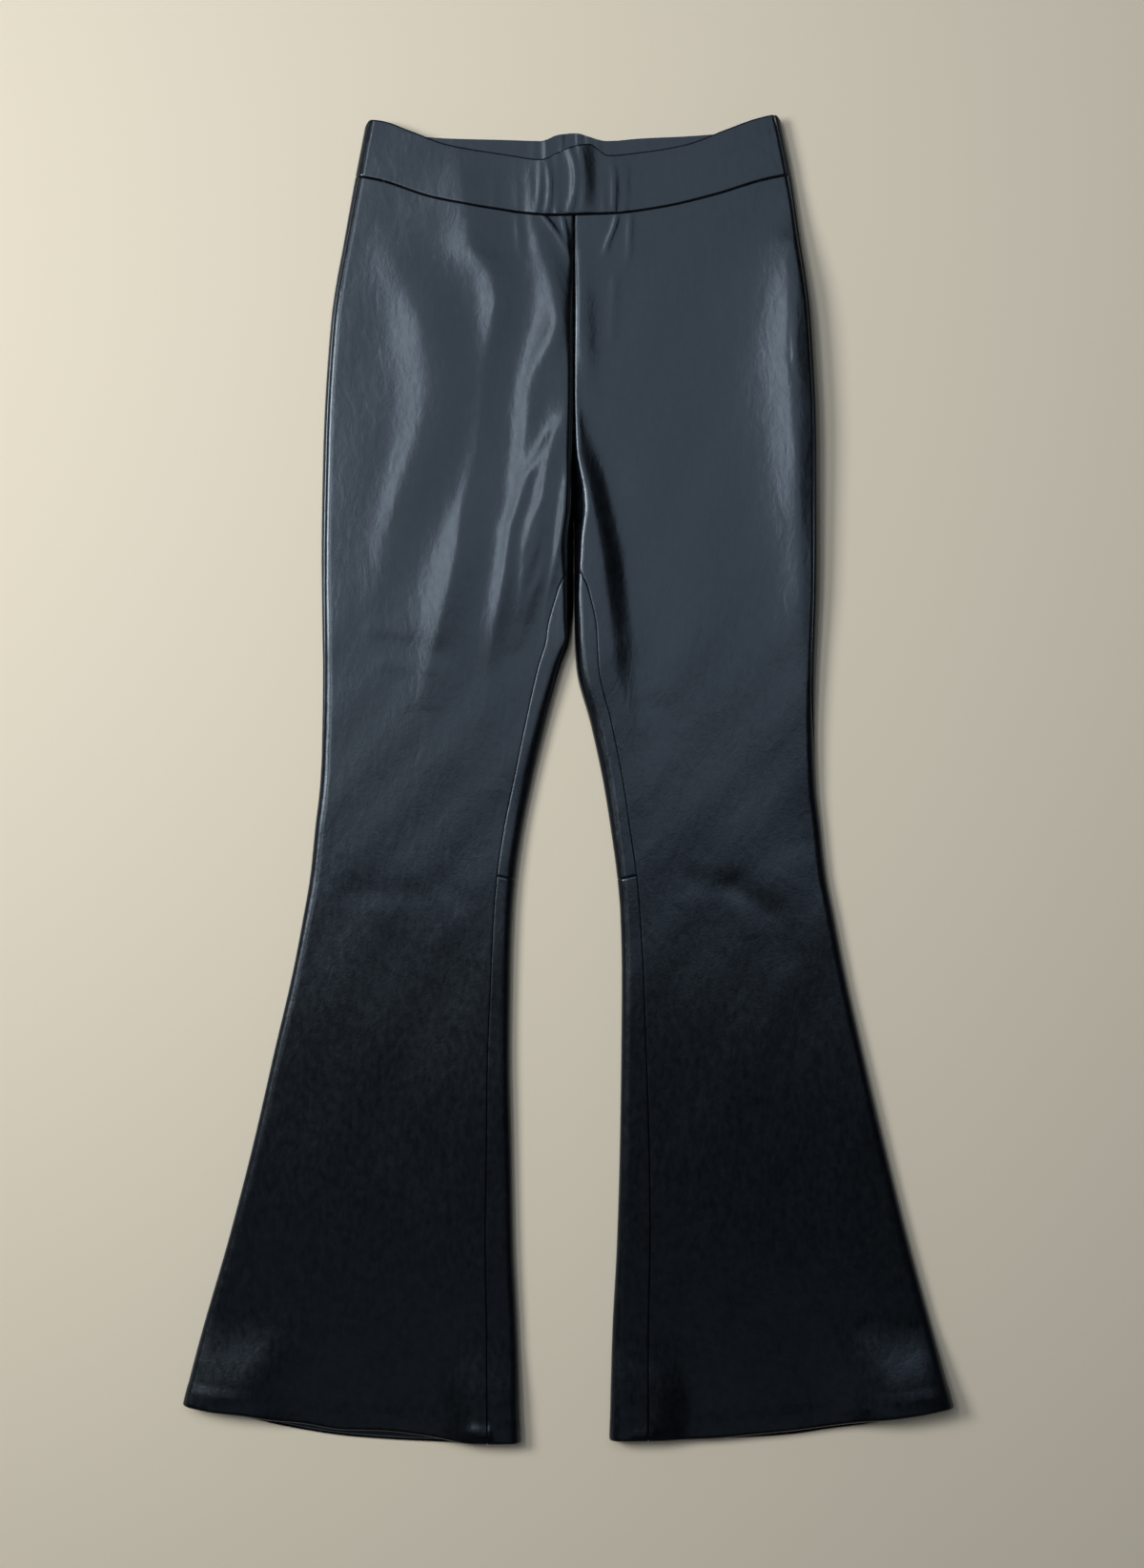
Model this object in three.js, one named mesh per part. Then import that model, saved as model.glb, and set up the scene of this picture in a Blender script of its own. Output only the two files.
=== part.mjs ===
import * as THREE from 'three';

// Flared pull-on trousers of thin leather, laid flat with the front up. Lengths are millimetres.
// +X is the wearer's left, +Y the waist and +Z up from the surface that they lie on.
// A drop is measured down from the top of the waistband. Across is measured from the centre seams.

const LEATHER = 1.2;
const BAND_WALL = 2.2;
const BAND_PROUD = 0.6;
const HEM_WALL = 2.2;
const HEM_DEPTH = 17;
const HEM_STEP = 1.5;
const SEAM_GAP = 0.3;
const WAIST_SLACK = 0.1;

const WAIST_DROP = 62;
const WAIST_FADE = 125;
const CROTCH_DROP = 353;
const LIP_DROP = 335;
const FORK_DROP = 414;
const KNEE_DROP = 605;
const KNEE_DIP = 4;
const KNEE_FADE = 40;
const HEM_DROP = 1050;
const HEM_FADE = 960;

const BAND_SIDE = { right: 3, left: 5 };
const BAND_ROWS = 4;

const OUTER_FOLD_RADIUS = 8;
const OUTER_UNDER_RADIUS = 6;
const FOLD_MIDDLE = 0.45;
const LIP_HEIGHT = 2;
const KNEE_DIP_REACH = 14;

// Times that a place and a drop that depend on each other are worked out again.
const LEG_PASSES = 3;
const BAND_PASSES = 4;

const LEATHER_COLOUR = 0x28303a;
const LEATHER_ROUGHNESS = 0.42;

/** Rows of a table as objects, one for each section, fold or point, with the column names as keys. */
function table(columns, rows) {
  return rows.map((row) => Object.fromEntries(columns.map((column, i) => [column, row[i]])));
}

// How far the folds of each leg lie from the centre line, and the seams in from those folds.
const LEG_SECTIONS = table(
  ['drop', 'rightOuter', 'leftOuter', 'rightInner', 'leftInner', 'rightSide', 'leftSide', 'rightInseam',
    'leftInseam'],
  [
    [0, 166, 165.5, 0, 0, 3, 4, 0, 0],
    [47, 175, 175, 0, 0, 3, 4, 0, 0],
    [90, 182.7, 181.5, 0, 0, 3, 3.5, 0, 0],
    [163, 194.6, 191.9, 0, 0, 3, 4.5, 0, 0],
    [263, 200.7, 196.9, 0, 0, 3.5, 5.8, 0, 0],
    [353, 202.2, 197.2, 0.15, 0.15, 3.2, 6.3, 0, 0],
    [365, 202.1, 197, 0.15, 0.15, 3, 6.2, 6, 5.5],
    [378, 202, 196.8, 0.15, 0.15, 2.8, 6, 12.5, 11.5],
    [414, 201.5, 195.3, 1.6, 0.5, 2.3, 5.3, 20, 18],
    [440, 201.1, 194.2, 9.6, 1.9, 1.8, 4.5, 19, 18],
    [485, 201.5, 193, 22.2, 13.4, 0.8, 1.6, 16.5, 17],
    [531, 203.4, 194.2, 33.3, 23.4, 0, 0, 14.8, 16],
    [569, 207.6, 198, 41, 29.5, 0, 0, 14.8, 15.6],
    [606, 211.4, 202.2, 46.3, 34.5, 0, 0, 15, 15.8],
    [638, 216.8, 208.4, 49, 37.2, 0, 0, 15, 16],
    [684, 225.6, 217.2, 50.6, 38.3, 0, 0, 15.6, 17.5],
    [745, 239.8, 230.9, 51.3, 37.9, 0, 0, 17.5, 20],
    [822, 257.4, 249, 49.8, 36.8, 0, 0, 20, 23.5],
    [899, 277.3, 268.1, 48.3, 34.5, 0, 0, 22.5, 26.5],
    [975, 299.1, 288.8, 44.8, 30.6, 0, 0, 25, 29],
    [1060, 320.2, 311.8, 42.1, 28.3, 0, 0, 27, 31],
  ],
);

// How high the top face lies beside the outer fold, in the middle of a leg and beside the inner fold.
// The crease is the bottom of the valley at the centre front, and then the middle of the inner fold.
// The shoulder is how far in the valley or the inner fold rounds over, on top and underneath.
const HEIGHTS = table(
  ['drop', 'outer', 'middle', 'inner', 'crease', 'shoulder', 'under'],
  [
    [0, 11.4, 13, 13.5, 13, 4, 2],
    [90, 12.2, 14, 13.6, 12.9, 5, 2],
    [209, 12.8, 14.5, 13.6, 11.8, 8, 2],
    [263, 12.8, 14.5, 13.6, 10, 12, 2],
    [295, 12.7, 14.3, 13.5, 6.5, 18, 2],
    [353, 12.2, 13.8, 13.3, 2.6, 25, 2],
    [414, 11.8, 13, 12.8, 2, 25, 2],
    [446, 11.5, 12.4, 12.3, 3.4, 21, 3.2],
    [500, 11.1, 11.6, 11.8, 4.8, 15, 5],
    [606, 10.8, 10.4, 11.4, 5.2, 9, 6],
    [745, 10.8, 9.8, 11.2, 5.2, 8, 6],
    [1060, 11, 9.6, 11.4, 5.2, 8, 6],
  ],
);

// Top edges of the waistband.
const BAND_EDGES = table(
  ['x', 'front', 'back'],
  [
    [-168, 7, 7],
    [-163, 2.3, 5],
    [-154, 3.1, 7],
    [-130, 11.5, 11.5],
    [-102, 21.9, 14],
    [-52, 30.6, 15.3],
    [-26, 34.2, 16.1],
    [-13, 29.1, 11.4],
    [1, 23.8, 10],
    [13, 22.2, 13],
    [21, 27.6, 15.4],
    [27, 31, 16.1],
    [54, 28.3, 14],
    [89, 22.2, 12.4],
    [123, 9.7, 9.7],
    [147, 1.1, 6],
    [161, -1.7, 4],
    [168, 4, 4],
  ],
);

// Seam between the waistband and the legs.
const WAIST_SEAM = table(
  ['x', 'front', 'back'],
  [
    [-175, 46.7, 46.7],
    [-155, 50.6, 48],
    [-111, 64.8, 53],
    [-64, 73.5, 57.5],
    [-18, 78.8, 60],
    [12, 78, 60],
    [32, 77.2, 59],
    [71, 72, 56.5],
    [113, 62, 52],
    [150, 50.6, 47],
    [175, 45.2, 45.2],
  ],
);

// Hem line of each leg, by the share of the way from the outer fold to the inner fold.
const HEM_LINE = table(
  ['share', 'rightFront', 'rightBack', 'leftFront', 'leftBack'],
  [
    [0, 1028.7, 1028.7, 1030.6, 1030.6],
    [0.04, 1033.3, 1032, 1034.5, 1033.5],
    [0.18, 1036.9, 1038, 1039.3, 1040],
    [0.28, 1042, 1045.6, 1043, 1046],
    [0.37, 1045.2, 1051, 1046.8, 1050],
    [0.48, 1049.8, 1055.5, 1050.6, 1054.5],
    [0.6, 1050.7, 1058.2, 1054, 1057],
    [0.72, 1054.5, 1060, 1057, 1058],
    [0.86, 1060, 1061, 1057.8, 1058.4],
    [1, 1060, 1060, 1057.8, 1057.8],
  ],
);

// Largest soft folds of the front legs, as ridges, or troughs where the height is below zero.
const FOLDS = table(
  ['x0', 'drop0', 'x1', 'drop1', 'halfWidth', 'height'],
  [
    [-138, 120, -112, 205, 24, 2.2],
    [-112, 205, -137, 300, 22, 1.6],
    [-82, 95, -64, 165, 20, 2.4],
    [-90, 320, -110, 420, 19, 2.4],
    [-25, 105, -15, 170, 14, 2.2],
    [-20, 175, -6, 285, 22, 1.8],
    [-12, 248, -56, 380, 10, 1.8],
    [184, 150, 184, 290, 26, 5.4],
    [186, 300, 188, 420, 22, 2.6],
    [9, 290, 27, 430, 11, 3],
    [96, 610, 156, 634, 9, -0.6],
    [-176, 619, -128, 621, 9, -0.5],
  ],
);

// Gathers of the elastic in the middle of the waistband, front and back.
const GATHERS = table(
  ['x', 'halfWidth', 'front', 'back'],
  [
    [-64, 6, 0.9, 0.2],
    [-47, 5.5, 0.9, 0.3],
    [-29, 3, 1.2, 0.8],
    [-21, 3, 1, 1],
    [-13.5, 2.8, 1.3, 0.9],
    [-6, 2.8, 1, 1],
    [1, 2.8, 1.1, 0.8],
    [8, 3.2, 1.8, 1],
    [16.5, 4.2, -2.2, 0.6],
    [24.5, 2.8, 1, 1],
    [33, 3.5, 0.9, 0.7],
  ],
);
const GATHER_BULGE = { x: -2, halfWidth: 34, height: 1.6 };

// Corners of the hems that stand a little off the surface.
const OUTER_CORNER_LIFT = 4.5;
const INNER_CORNER_LIFT = 4.5;
const CORNER_RISE = 90;
const CORNER_REACH = 55;

// A back panel has columns over its inner fold, underneath and over its outer fold. They are closer
// together within this much of the ring beside a fold.
const FOLD_SPAN = 0.12;
const BACK_STRETCHES = [5, 8, 4];
const FRONT_STEPS = 18;

// Columns of the waistband, and how much closer together they are over the gathers and by the folds.
const BAND_STEPS = { front: 62, back: 48 };
const BAND_CLOSENESS = { front: 0.5, back: 0.35 };

/** Smooth curve through a table's rows that doesn't overshoot them and goes on straight past its ends. */
function curve(rows, along, column) {
  const at = rows.map((row) => row[along]);
  const value = rows.map((row) => row[column]);
  const secant = at.slice(1).map((x, i) => (value[i + 1] - value[i]) / (x - at[i]));
  const slope = at.map((_, i) => {
    const before = secant[Math.max(i - 1, 0)];
    const after = secant[Math.min(i, secant.length - 1)];
    return before * after <= 0 ? 0 : (2 * before * after) / (before + after);
  });
  return (x) => {
    const inside = THREE.MathUtils.clamp(x, at[0], at[at.length - 1]);
    let i = 0;
    while (i < at.length - 2 && inside > at[i + 1]) {
      i += 1;
    }
    const step = at[i + 1] - at[i];
    const t = (inside - at[i]) / step;
    const rise = (1 - t) ** 2 * t * slope[i] - t ** 2 * (1 - t) * slope[i + 1];
    const ends = value[i] + (value[i + 1] - value[i]) * t ** 2 * (3 - 2 * t);
    return ends + rise * step + (x - inside) * (x < inside ? slope[0] : slope[slope.length - 1]);
  };
}

/** Height of a quarter round at a distance in from its edge, from 0 at the edge to 1 at the radius. */
function quarterRound(distance, radius) {
  const short = 1 - THREE.MathUtils.clamp(distance / radius, 0, 1);
  return Math.sqrt(1 - short ** 2);
}

/** Share of the width at a place on the ring, which is closest packed beside the two folds. */
function ringShare(place) {
  return (1 - Math.cos(Math.PI * place)) / 2;
}

/** Place on the ring of a point that is a distance in from the outer fold. */
function ringPlace(distance, width) {
  return Math.acos(1 - (2 * distance) / width) / Math.PI;
}

const height = {
  outer: curve(HEIGHTS, 'drop', 'outer'),
  middle: curve(HEIGHTS, 'drop', 'middle'),
  inner: curve(HEIGHTS, 'drop', 'inner'),
  crease: curve(HEIGHTS, 'drop', 'crease'),
  shoulder: curve(HEIGHTS, 'drop', 'shoulder'),
  under: curve(HEIGHTS, 'drop', 'under'),
};

/** Curves of one leg. Its side is -1 on the wearer's right and 1 on the left. */
function makeLeg(name, side) {
  const outer = curve(LEG_SECTIONS, 'drop', `${name}Outer`);
  const inner = curve(LEG_SECTIONS, 'drop', `${name}Inner`);
  const seams = LEG_SECTIONS.map((row) => {
    const width = row[`${name}Outer`] - row[`${name}Inner`];
    return {
      drop: row.drop,
      sidePlace: ringPlace(row[`${name}Side`], width),
      inseamPlace: 1 - ringPlace(row[`${name}Inseam`], width),
    };
  });
  return {
    side,
    outer,
    inner,
    sidePlace: curve(seams, 'drop', 'sidePlace'),
    inseamPlace: curve(seams, 'drop', 'inseamPlace'),
    hemFront: curve(HEM_LINE, 'share', `${name}Front`),
    hemBack: curve(HEM_LINE, 'share', `${name}Back`),
  };
}

const rightLeg = makeLeg('right', -1);
const leftLeg = makeLeg('left', 1);
const bandEdge = { front: curve(BAND_EDGES, 'x', 'front'), back: curve(BAND_EDGES, 'x', 'back') };
const waistSeam = { front: curve(WAIST_SEAM, 'x', 'front'), back: curve(WAIST_SEAM, 'x', 'back') };

/** Bell shape, 1 in the middle and about a third at the half width. */
function bell(distance, halfWidth) {
  return Math.exp(-((distance / halfWidth) ** 2));
}

/** Distance from a point of the top face to the line of a fold. */
function distanceToFold(fold, x, drop) {
  const runX = fold.x1 - fold.x0;
  const runDrop = fold.drop1 - fold.drop0;
  const along = ((x - fold.x0) * runX + (drop - fold.drop0) * runDrop) / (runX ** 2 + runDrop ** 2);
  const t = THREE.MathUtils.clamp(along, 0, 1);
  return Math.hypot(x - fold.x0 - runX * t, drop - fold.drop0 - runDrop * t);
}

/** Height of the top face away from its edges: the lie of the cloth and its soft folds. */
function topHeight(share, x, drop) {
  const outer = height.outer(drop);
  const middle = height.middle(drop);
  const inner = height.inner(drop);
  const lie = outer * (1 - share) * (1 - 2 * share) + middle * 4 * share * (1 - share)
    + inner * share * (2 * share - 1);
  return FOLDS.reduce((sum, fold) => {
    const away = distanceToFold(fold, x, drop);
    return sum + fold.height * bell(away, fold.halfWidth);
  }, lie);
}

/** How far the corners of a hem stand off the surface. */
function cornerLift(leg, across, drop) {
  const rise = THREE.MathUtils.smoothstep(drop, HEM_DROP - CORNER_RISE, HEM_DROP);
  const fromOuter = leg.outer(drop) - across;
  const fromInner = across - leg.inner(drop);
  const outer = OUTER_CORNER_LIFT * THREE.MathUtils.smoothstep(bell(fromOuter, CORNER_REACH), 0.2, 1);
  const inner = INNER_CORNER_LIFT * THREE.MathUtils.smoothstep(bell(fromInner, CORNER_REACH), 0.2, 1);
  return Math.max(outer, inner) * rise;
}

/**
 * Point on the outer face of a leg. The place runs from 0 at the outer fold over the top to 1 at the
 * inner fold, and on underneath to 2. Above the crotch the ring is open at the centre seams instead.
 */
function legPoint(leg, place, drop) {
  const turn = ((place % 2) + 2) % 2;
  const onTop = turn <= 1;
  const share = ringShare(onTop ? turn : 2 - turn);
  const outer = leg.outer(drop);
  const inner = leg.inner(drop);
  const across = outer + (inner - outer) * share;
  const x = leg.side * across;
  const fromOuter = outer - across;
  const fromInner = across - inner;
  const foldHeight = height.outer(drop) * FOLD_MIDDLE;
  const lip = LIP_HEIGHT * THREE.MathUtils.smoothstep(drop, LIP_DROP, CROTCH_DROP);
  const crease = height.crease(drop);
  const open = drop < CROTCH_DROP;
  let z;
  if (onTop) {
    const top = topHeight(share, x, drop);
    const innerEdge = open ? crease : Math.max(crease, lip);
    const rounded = innerEdge + (top - innerEdge) * quarterRound(fromInner, height.shoulder(drop));
    z = foldHeight + (rounded - foldHeight) * quarterRound(fromOuter, OUTER_FOLD_RADIUS);
  } else {
    const innerEdge = open ? lip : Math.max(crease, lip);
    const rounded = innerEdge * (1 - quarterRound(fromInner, height.under(drop)));
    z = foldHeight * (1 - quarterRound(fromOuter, OUTER_UNDER_RADIUS)) + rounded;
  }
  return new THREE.Vector3(x, -drop, z + cornerLift(leg, across, drop));
}

/** Raised gathers of the elastic at a place on the waistband, of its front or of its back. */
function gatherHeight(x, panel) {
  return GATHERS.reduce((sum, gather) => sum + gather[panel] * bell(x - gather.x, gather.halfWidth), 0);
}

/** Point on the outer face of the waistband, from 0 at the right fold over the top to 1 at the left one. */
function bandPoint(place, drop) {
  const turn = ((place % 2) + 2) % 2;
  const onTop = turn <= 1;
  const share = ringShare(onTop ? turn : 2 - turn);
  const right = -rightLeg.outer(drop);
  const left = leftLeg.outer(drop);
  const x = right + (left - right) * share;
  const fromEdge = Math.min(x - right, left - x);
  const foldHeight = height.outer(drop) * FOLD_MIDDLE;
  if (!onTop) {
    return new THREE.Vector3(x, -drop, foldHeight * (1 - quarterRound(fromEdge, OUTER_UNDER_RADIUS)));
  }
  const leg = x < 0 ? rightLeg : leftLeg;
  const legShare = 1 - Math.abs(x) / leg.outer(drop);
  const bulge = GATHER_BULGE.height * bell(x - GATHER_BULGE.x, GATHER_BULGE.halfWidth);
  const top = topHeight(legShare, x, drop) + BAND_PROUD + bulge + gatherHeight(x, 'front');
  const z = foldHeight + (top - foldHeight) * quarterRound(fromEdge, OUTER_FOLD_RADIUS);
  return new THREE.Vector3(x, -drop, z);
}

/**
 * Outward normal of a surface at a place on its ring. Towards the waist seam it turns square to the drop,
 * so that the edges of the walls there are parallel.
 */
function outwardNormal(point, { place, drop, lowest, highest, square }) {
  const turn = 0.003;
  const fall = 0.5;
  const before = point(Math.max(place - turn, lowest), drop);
  const after = point(Math.min(place + turn, highest), drop);
  const above = point(place, drop - fall);
  const below = point(place, drop + fall);
  const normal = after.sub(before).cross(above.sub(below)).normalize();
  normal.y *= 1 - square;
  return normal.normalize();
}

/**
 * Closed wall between an outer face and its inner face. Each column is a share of the way round the
 * panel and each row a nominal drop. locate gives the place and the drop of one of them.
 */
function wallGeometry({ columns, rows, locate, point, outward, thickness }) {
  const outerFace = [];
  const innerFace = [];
  rows.forEach((row) => {
    columns.forEach((column) => {
      const { place, drop, facing } = locate(column, row);
      const outside = point(place, drop);
      const inward = outwardNormal(point, facing).multiplyScalar(outward * thickness(outside, row));
      outerFace.push(outside);
      innerFace.push(outside.clone().sub(inward));
    });
  });
  const wide = columns.length;
  const tall = rows.length;
  const count = wide * tall;
  const triangles = [];
  const quad = (a, b, c, d) => triangles.push(a, b, c, a, c, d);
  for (let j = 0; j < tall - 1; j += 1) {
    for (let i = 0; i < wide - 1; i += 1) {
      const corner = j * wide + i;
      quad(corner, corner + wide, corner + wide + 1, corner + 1);
      quad(count + corner, count + corner + 1, count + corner + wide + 1, count + corner + wide);
    }
  }
  const rim = (a, b) => quad(a, b, count + b, count + a);
  for (let i = 0; i < wide - 1; i += 1) {
    rim(i, i + 1);
    rim((tall - 1) * wide + i + 1, (tall - 1) * wide + i);
  }
  for (let j = 0; j < tall - 1; j += 1) {
    rim((j + 1) * wide, j * wide);
    rim(j * wide + wide - 1, (j + 1) * wide + wide - 1);
  }
  const geometry = new THREE.BufferGeometry();
  geometry.setFromPoints([...outerFace, ...innerFace]);
  if (signedVolume(geometry.attributes.position, triangles) < 0) {
    triangles.reverse();
  }
  geometry.setIndex(triangles);
  geometry.computeVertexNormals();
  return geometry;
}

/** Volume inside a closed mesh, below zero where its faces point inwards. */
function signedVolume(positions, triangles) {
  const [a, b, c] = [new THREE.Vector3(), new THREE.Vector3(), new THREE.Vector3()];
  let volume = 0;
  for (let i = 0; i < triangles.length; i += 3) {
    a.fromBufferAttribute(positions, triangles[i]);
    b.fromBufferAttribute(positions, triangles[i + 1]);
    c.fromBufferAttribute(positions, triangles[i + 2]);
    volume += a.dot(b.cross(c)) / 6;
  }
  return volume;
}

/** Evenly spaced shares from 0 to 1. */
function shares(count) {
  return Array.from({ length: count + 1 }, (_, i) => i / count);
}

/** Drop of a nominal row of a leg, bent to follow the waist seam, the knee seam and the hem. */
function bentDrop(leg, place, nominal) {
  const turn = ((place % 2) + 2) % 2;
  const onTop = turn <= 1;
  const share = ringShare(onTop ? turn : 2 - turn);
  let drop = nominal;
  for (let pass = 0; pass < LEG_PASSES; pass += 1) {
    const outer = leg.outer(drop);
    const across = outer + (leg.inner(drop) - outer) * share;
    const x = leg.side * across;
    const waist = (onTop ? waistSeam.front(x) : waistSeam.back(x)) - WAIST_DROP;
    const hem = (onTop ? leg.hemFront(share) : leg.hemBack(share)) - HEM_DROP;
    const waistFade = 1 - THREE.MathUtils.clamp((nominal - WAIST_DROP) / (WAIST_FADE - WAIST_DROP), 0, 1);
    const hemLine = HEM_DROP - HEM_DEPTH - HEM_STEP;
    const hemFade = THREE.MathUtils.clamp((nominal - HEM_FADE) / (hemLine - HEM_FADE), 0, 1);
    const kneeFade = Math.max(0, 1 - Math.abs(nominal - KNEE_DROP) / KNEE_FADE);
    const dip = KNEE_DIP * bell(across - leg.inner(drop), KNEE_DIP_REACH);
    drop = nominal + waist * waistFade + hem * hemFade + dip * kneeFade;
  }
  return drop;
}

/** Step of place that is half a seam gap, square to a seam whose place changes with the drop. */
function halfGap(point, seamPlace, drop) {
  const turn = 0.002;
  const fall = 1;
  const place = seamPlace(drop);
  const round = point(place + turn, drop).sub(point(place - turn, drop)).divideScalar(2 * turn);
  const along = point(seamPlace(drop + fall), drop + fall).sub(point(seamPlace(drop - fall), drop - fall));
  return ((SEAM_GAP / 2) * along.length()) / round.cross(along).length();
}

/** Where a leg's panels start and end on the ring at a drop, clear of the seams, and the seams themselves. */
function legLimits(leg, panel, drop) {
  const point = (place, at) => legPoint(leg, place, at);
  const width = leg.outer(drop) - leg.inner(drop);
  const side = leg.sidePlace(drop);
  const sideStep = halfGap(point, leg.sidePlace, drop);
  const centre = 1 - ringPlace(SEAM_GAP / 2, width);
  if (drop <= CROTCH_DROP) {
    const lipTurn = THREE.MathUtils.smoothstep(drop, LIP_DROP, CROTCH_DROP);
    const underCentre = 1 + (1 - centre) * (1 - lipTurn);
    return panel === 'front'
      ? { start: side + sideStep, end: centre, startSeam: side, endSeam: centre }
      : { start: underCentre, end: 2 + side - sideStep, startSeam: underCentre, endSeam: 2 + side };
  }
  const inseam = leg.inseamPlace(drop);
  const step = halfGap(point, leg.inseamPlace, drop);
  return panel === 'front'
    ? { start: side + sideStep, end: Math.min(inseam - step, centre), startSeam: side, endSeam: inseam }
    : { start: inseam + step, end: 2 + side - sideStep, startSeam: inseam, endSeam: 2 + side };
}

/** Wall of a leg's panel between two nominal drops. */
function legWall(leg, panel, columns, rows) {
  const point = (place, drop) => legPoint(leg, place, drop);
  const ringAt = (column, { start, end }) => {
    if (panel === 'front') {
      return start + (end - start) * column;
    }
    const stops = [start, 1 + FOLD_SPAN, 2 - FOLD_SPAN, end];
    const stretch = Math.min(Math.floor(column * BACK_STRETCHES.length), BACK_STRETCHES.length - 1);
    const share = column * BACK_STRETCHES.length - stretch;
    return THREE.MathUtils.lerp(stops[stretch], stops[stretch + 1], share);
  };
  const locate = (column, row) => {
    let drop = row;
    let place = 0;
    for (let pass = 0; pass < LEG_PASSES; pass += 1) {
      place = ringAt(column, legLimits(leg, panel, drop));
      drop = bentDrop(leg, place, row);
    }
    const { startSeam, endSeam } = legLimits(leg, panel, drop);
    const facesAt = { 0: startSeam, 1: endSeam }[column] ?? place;
    const open = drop <= CROTCH_DROP;
    const facing = {
      place: facesAt,
      drop,
      lowest: open && panel === 'back' ? 1 : 0,
      highest: open && panel === 'front' ? 1 : 3,
      square: 1 - THREE.MathUtils.smoothstep(row, WAIST_DROP, WAIST_FADE),
    };
    return { place, drop, facing };
  };
  const hemLine = HEM_DROP - HEM_DEPTH - HEM_STEP / 2;
  const thickness = (_, row) => (row > hemLine ? HEM_WALL : LEATHER);
  return wallGeometry({ columns, rows, locate, point, outward: -leg.side, thickness });
}

/** Wall of the front or the back of the waistband. */
function bandWall(panel, columns) {
  const seams = (drop) => {
    const width = rightLeg.outer(drop) + leftLeg.outer(drop);
    const right = ringPlace(BAND_SIDE.right, width);
    const left = 1 - ringPlace(BAND_SIDE.left, width);
    return panel === 'front' ? [right, left] : [left, 2 + right];
  };
  const locate = (column, row) => {
    let drop = WAIST_DROP / 2;
    let place = 0;
    for (let pass = 0; pass < BAND_PASSES; pass += 1) {
      const [start, end] = seams(drop);
      const startStep = halfGap(bandPoint, (at) => seams(at)[0], drop);
      const endStep = halfGap(bandPoint, (at) => seams(at)[1], drop);
      place = THREE.MathUtils.lerp(start + startStep, end - endStep, column);
      const turn = place % 2;
      const side = turn <= 1 ? 'front' : 'back';
      const { x } = bandPoint(place, drop);
      drop = THREE.MathUtils.lerp(bandEdge[side](x), waistSeam[side](x) - SEAM_GAP / 2, row);
    }
    const [startSeam, endSeam] = seams(drop);
    const facesAt = { 0: startSeam, 1: endSeam }[column] ?? place;
    return { place, drop, facing: { place: facesAt, drop, lowest: 0, highest: 3, square: 1 } };
  };
  const thickness = (at) => BAND_WALL + (panel === 'back' ? gatherHeight(at.x, 'back') : 0);
  return wallGeometry({ columns, rows: shares(BAND_ROWS), locate, point: bandPoint, outward: 1, thickness });
}

/** Columns of the waistband: close together over the gathers and by the folds. */
function bandColumns(panel) {
  const waves = 4 * Math.PI;
  const closeness = BAND_CLOSENESS[panel];
  return shares(BAND_STEPS[panel]).map((share) => share + (closeness * Math.sin(waves * share)) / waves);
}

const UPPER_ROWS = [
  WAIST_DROP, 83, 104, WAIST_FADE, 160, 200, 240, 270, 295, 318, LIP_DROP, CROTCH_DROP, 355.5, 358,
  361, 365, 371, 378, 395, FORK_DROP, 428, 446, 466, 478, 489, 500, 510, 520, 531, 565, KNEE_DROP,
];
const LOWER_ROWS = [
  KNEE_DROP, 640, 680, 730, 785, 840, 895, 945, 990, HEM_DROP - HEM_DEPTH - HEM_STEP,
  HEM_DROP - HEM_DEPTH, HEM_DROP,
];

/** Rows with the first and the last moved in by half a seam gap where they lie on a seam. */
function clearOfSeams(rows, startsAtSeam, endsAtSeam) {
  const clear = [...rows];
  clear[0] += startsAtSeam ? SEAM_GAP / 2 + WAIST_SLACK : 0;
  clear[clear.length - 1] -= endsAtSeam ? SEAM_GAP / 2 : 0;
  return clear;
}

const leather = new THREE.MeshStandardMaterial({
  color: LEATHER_COLOUR,
  roughness: LEATHER_ROUGHNESS,
  metalness: 0,
});

/** Adds a named piece of leather to the group. */
function addPiece(group, name, geometry) {
  const mesh = new THREE.Mesh(geometry, leather);
  mesh.name = name;
  group.add(mesh);
}

const trousers = new THREE.Group();
const frontRows = clearOfSeams([...UPPER_ROWS, ...LOWER_ROWS.slice(1)], true, false);
const frontColumns = shares(FRONT_STEPS);
const backColumns = [0, ...BACK_STRETCHES.flatMap((count, stretch) => shares(count).slice(1)
  .map((share) => (stretch + share) / BACK_STRETCHES.length))];

addPiece(trousers, 'waistband_front', bandWall('front', bandColumns('front')));
addPiece(trousers, 'waistband_back', bandWall('back', bandColumns('back')));
[['right', rightLeg], ['left', leftLeg]].forEach(([name, leg]) => {
  addPiece(trousers, `front_${name}`, legWall(leg, 'front', frontColumns, frontRows));
  const upper = clearOfSeams(UPPER_ROWS, true, true);
  addPiece(trousers, `back_upper_${name}`, legWall(leg, 'back', backColumns, upper));
  const lower = clearOfSeams(LOWER_ROWS, true, false);
  addPiece(trousers, `back_lower_${name}`, legWall(leg, 'back', backColumns, lower));
});

// The origin is under the middle of the garment.
const bounds = new THREE.Box3().setFromObject(trousers);
const middle = bounds.getCenter(new THREE.Vector3());
trousers.position.set(-middle.x, -middle.y, -bounds.min.z);

export default trousers;
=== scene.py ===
"""Flared pull-on trousers of thin dark navy leather, laid flat with the front up.

The forms are worked out in millimetres. +X is the wearer's left, +Y the waist and +Z up from the surface.
A drop is measured down from the top of the waistband. Across is measured out from the centre seams. A place
on a leg's ring runs from 0 at the outer fold over the top to 1 at the inner fold, and on underneath to 2.
"""

import logging
import math
from dataclasses import dataclass, field
from enum import Enum
from typing import Callable, NamedTuple, Sequence

import bmesh
import bpy
import numpy as np
from mathutils import Matrix, Vector

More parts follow.
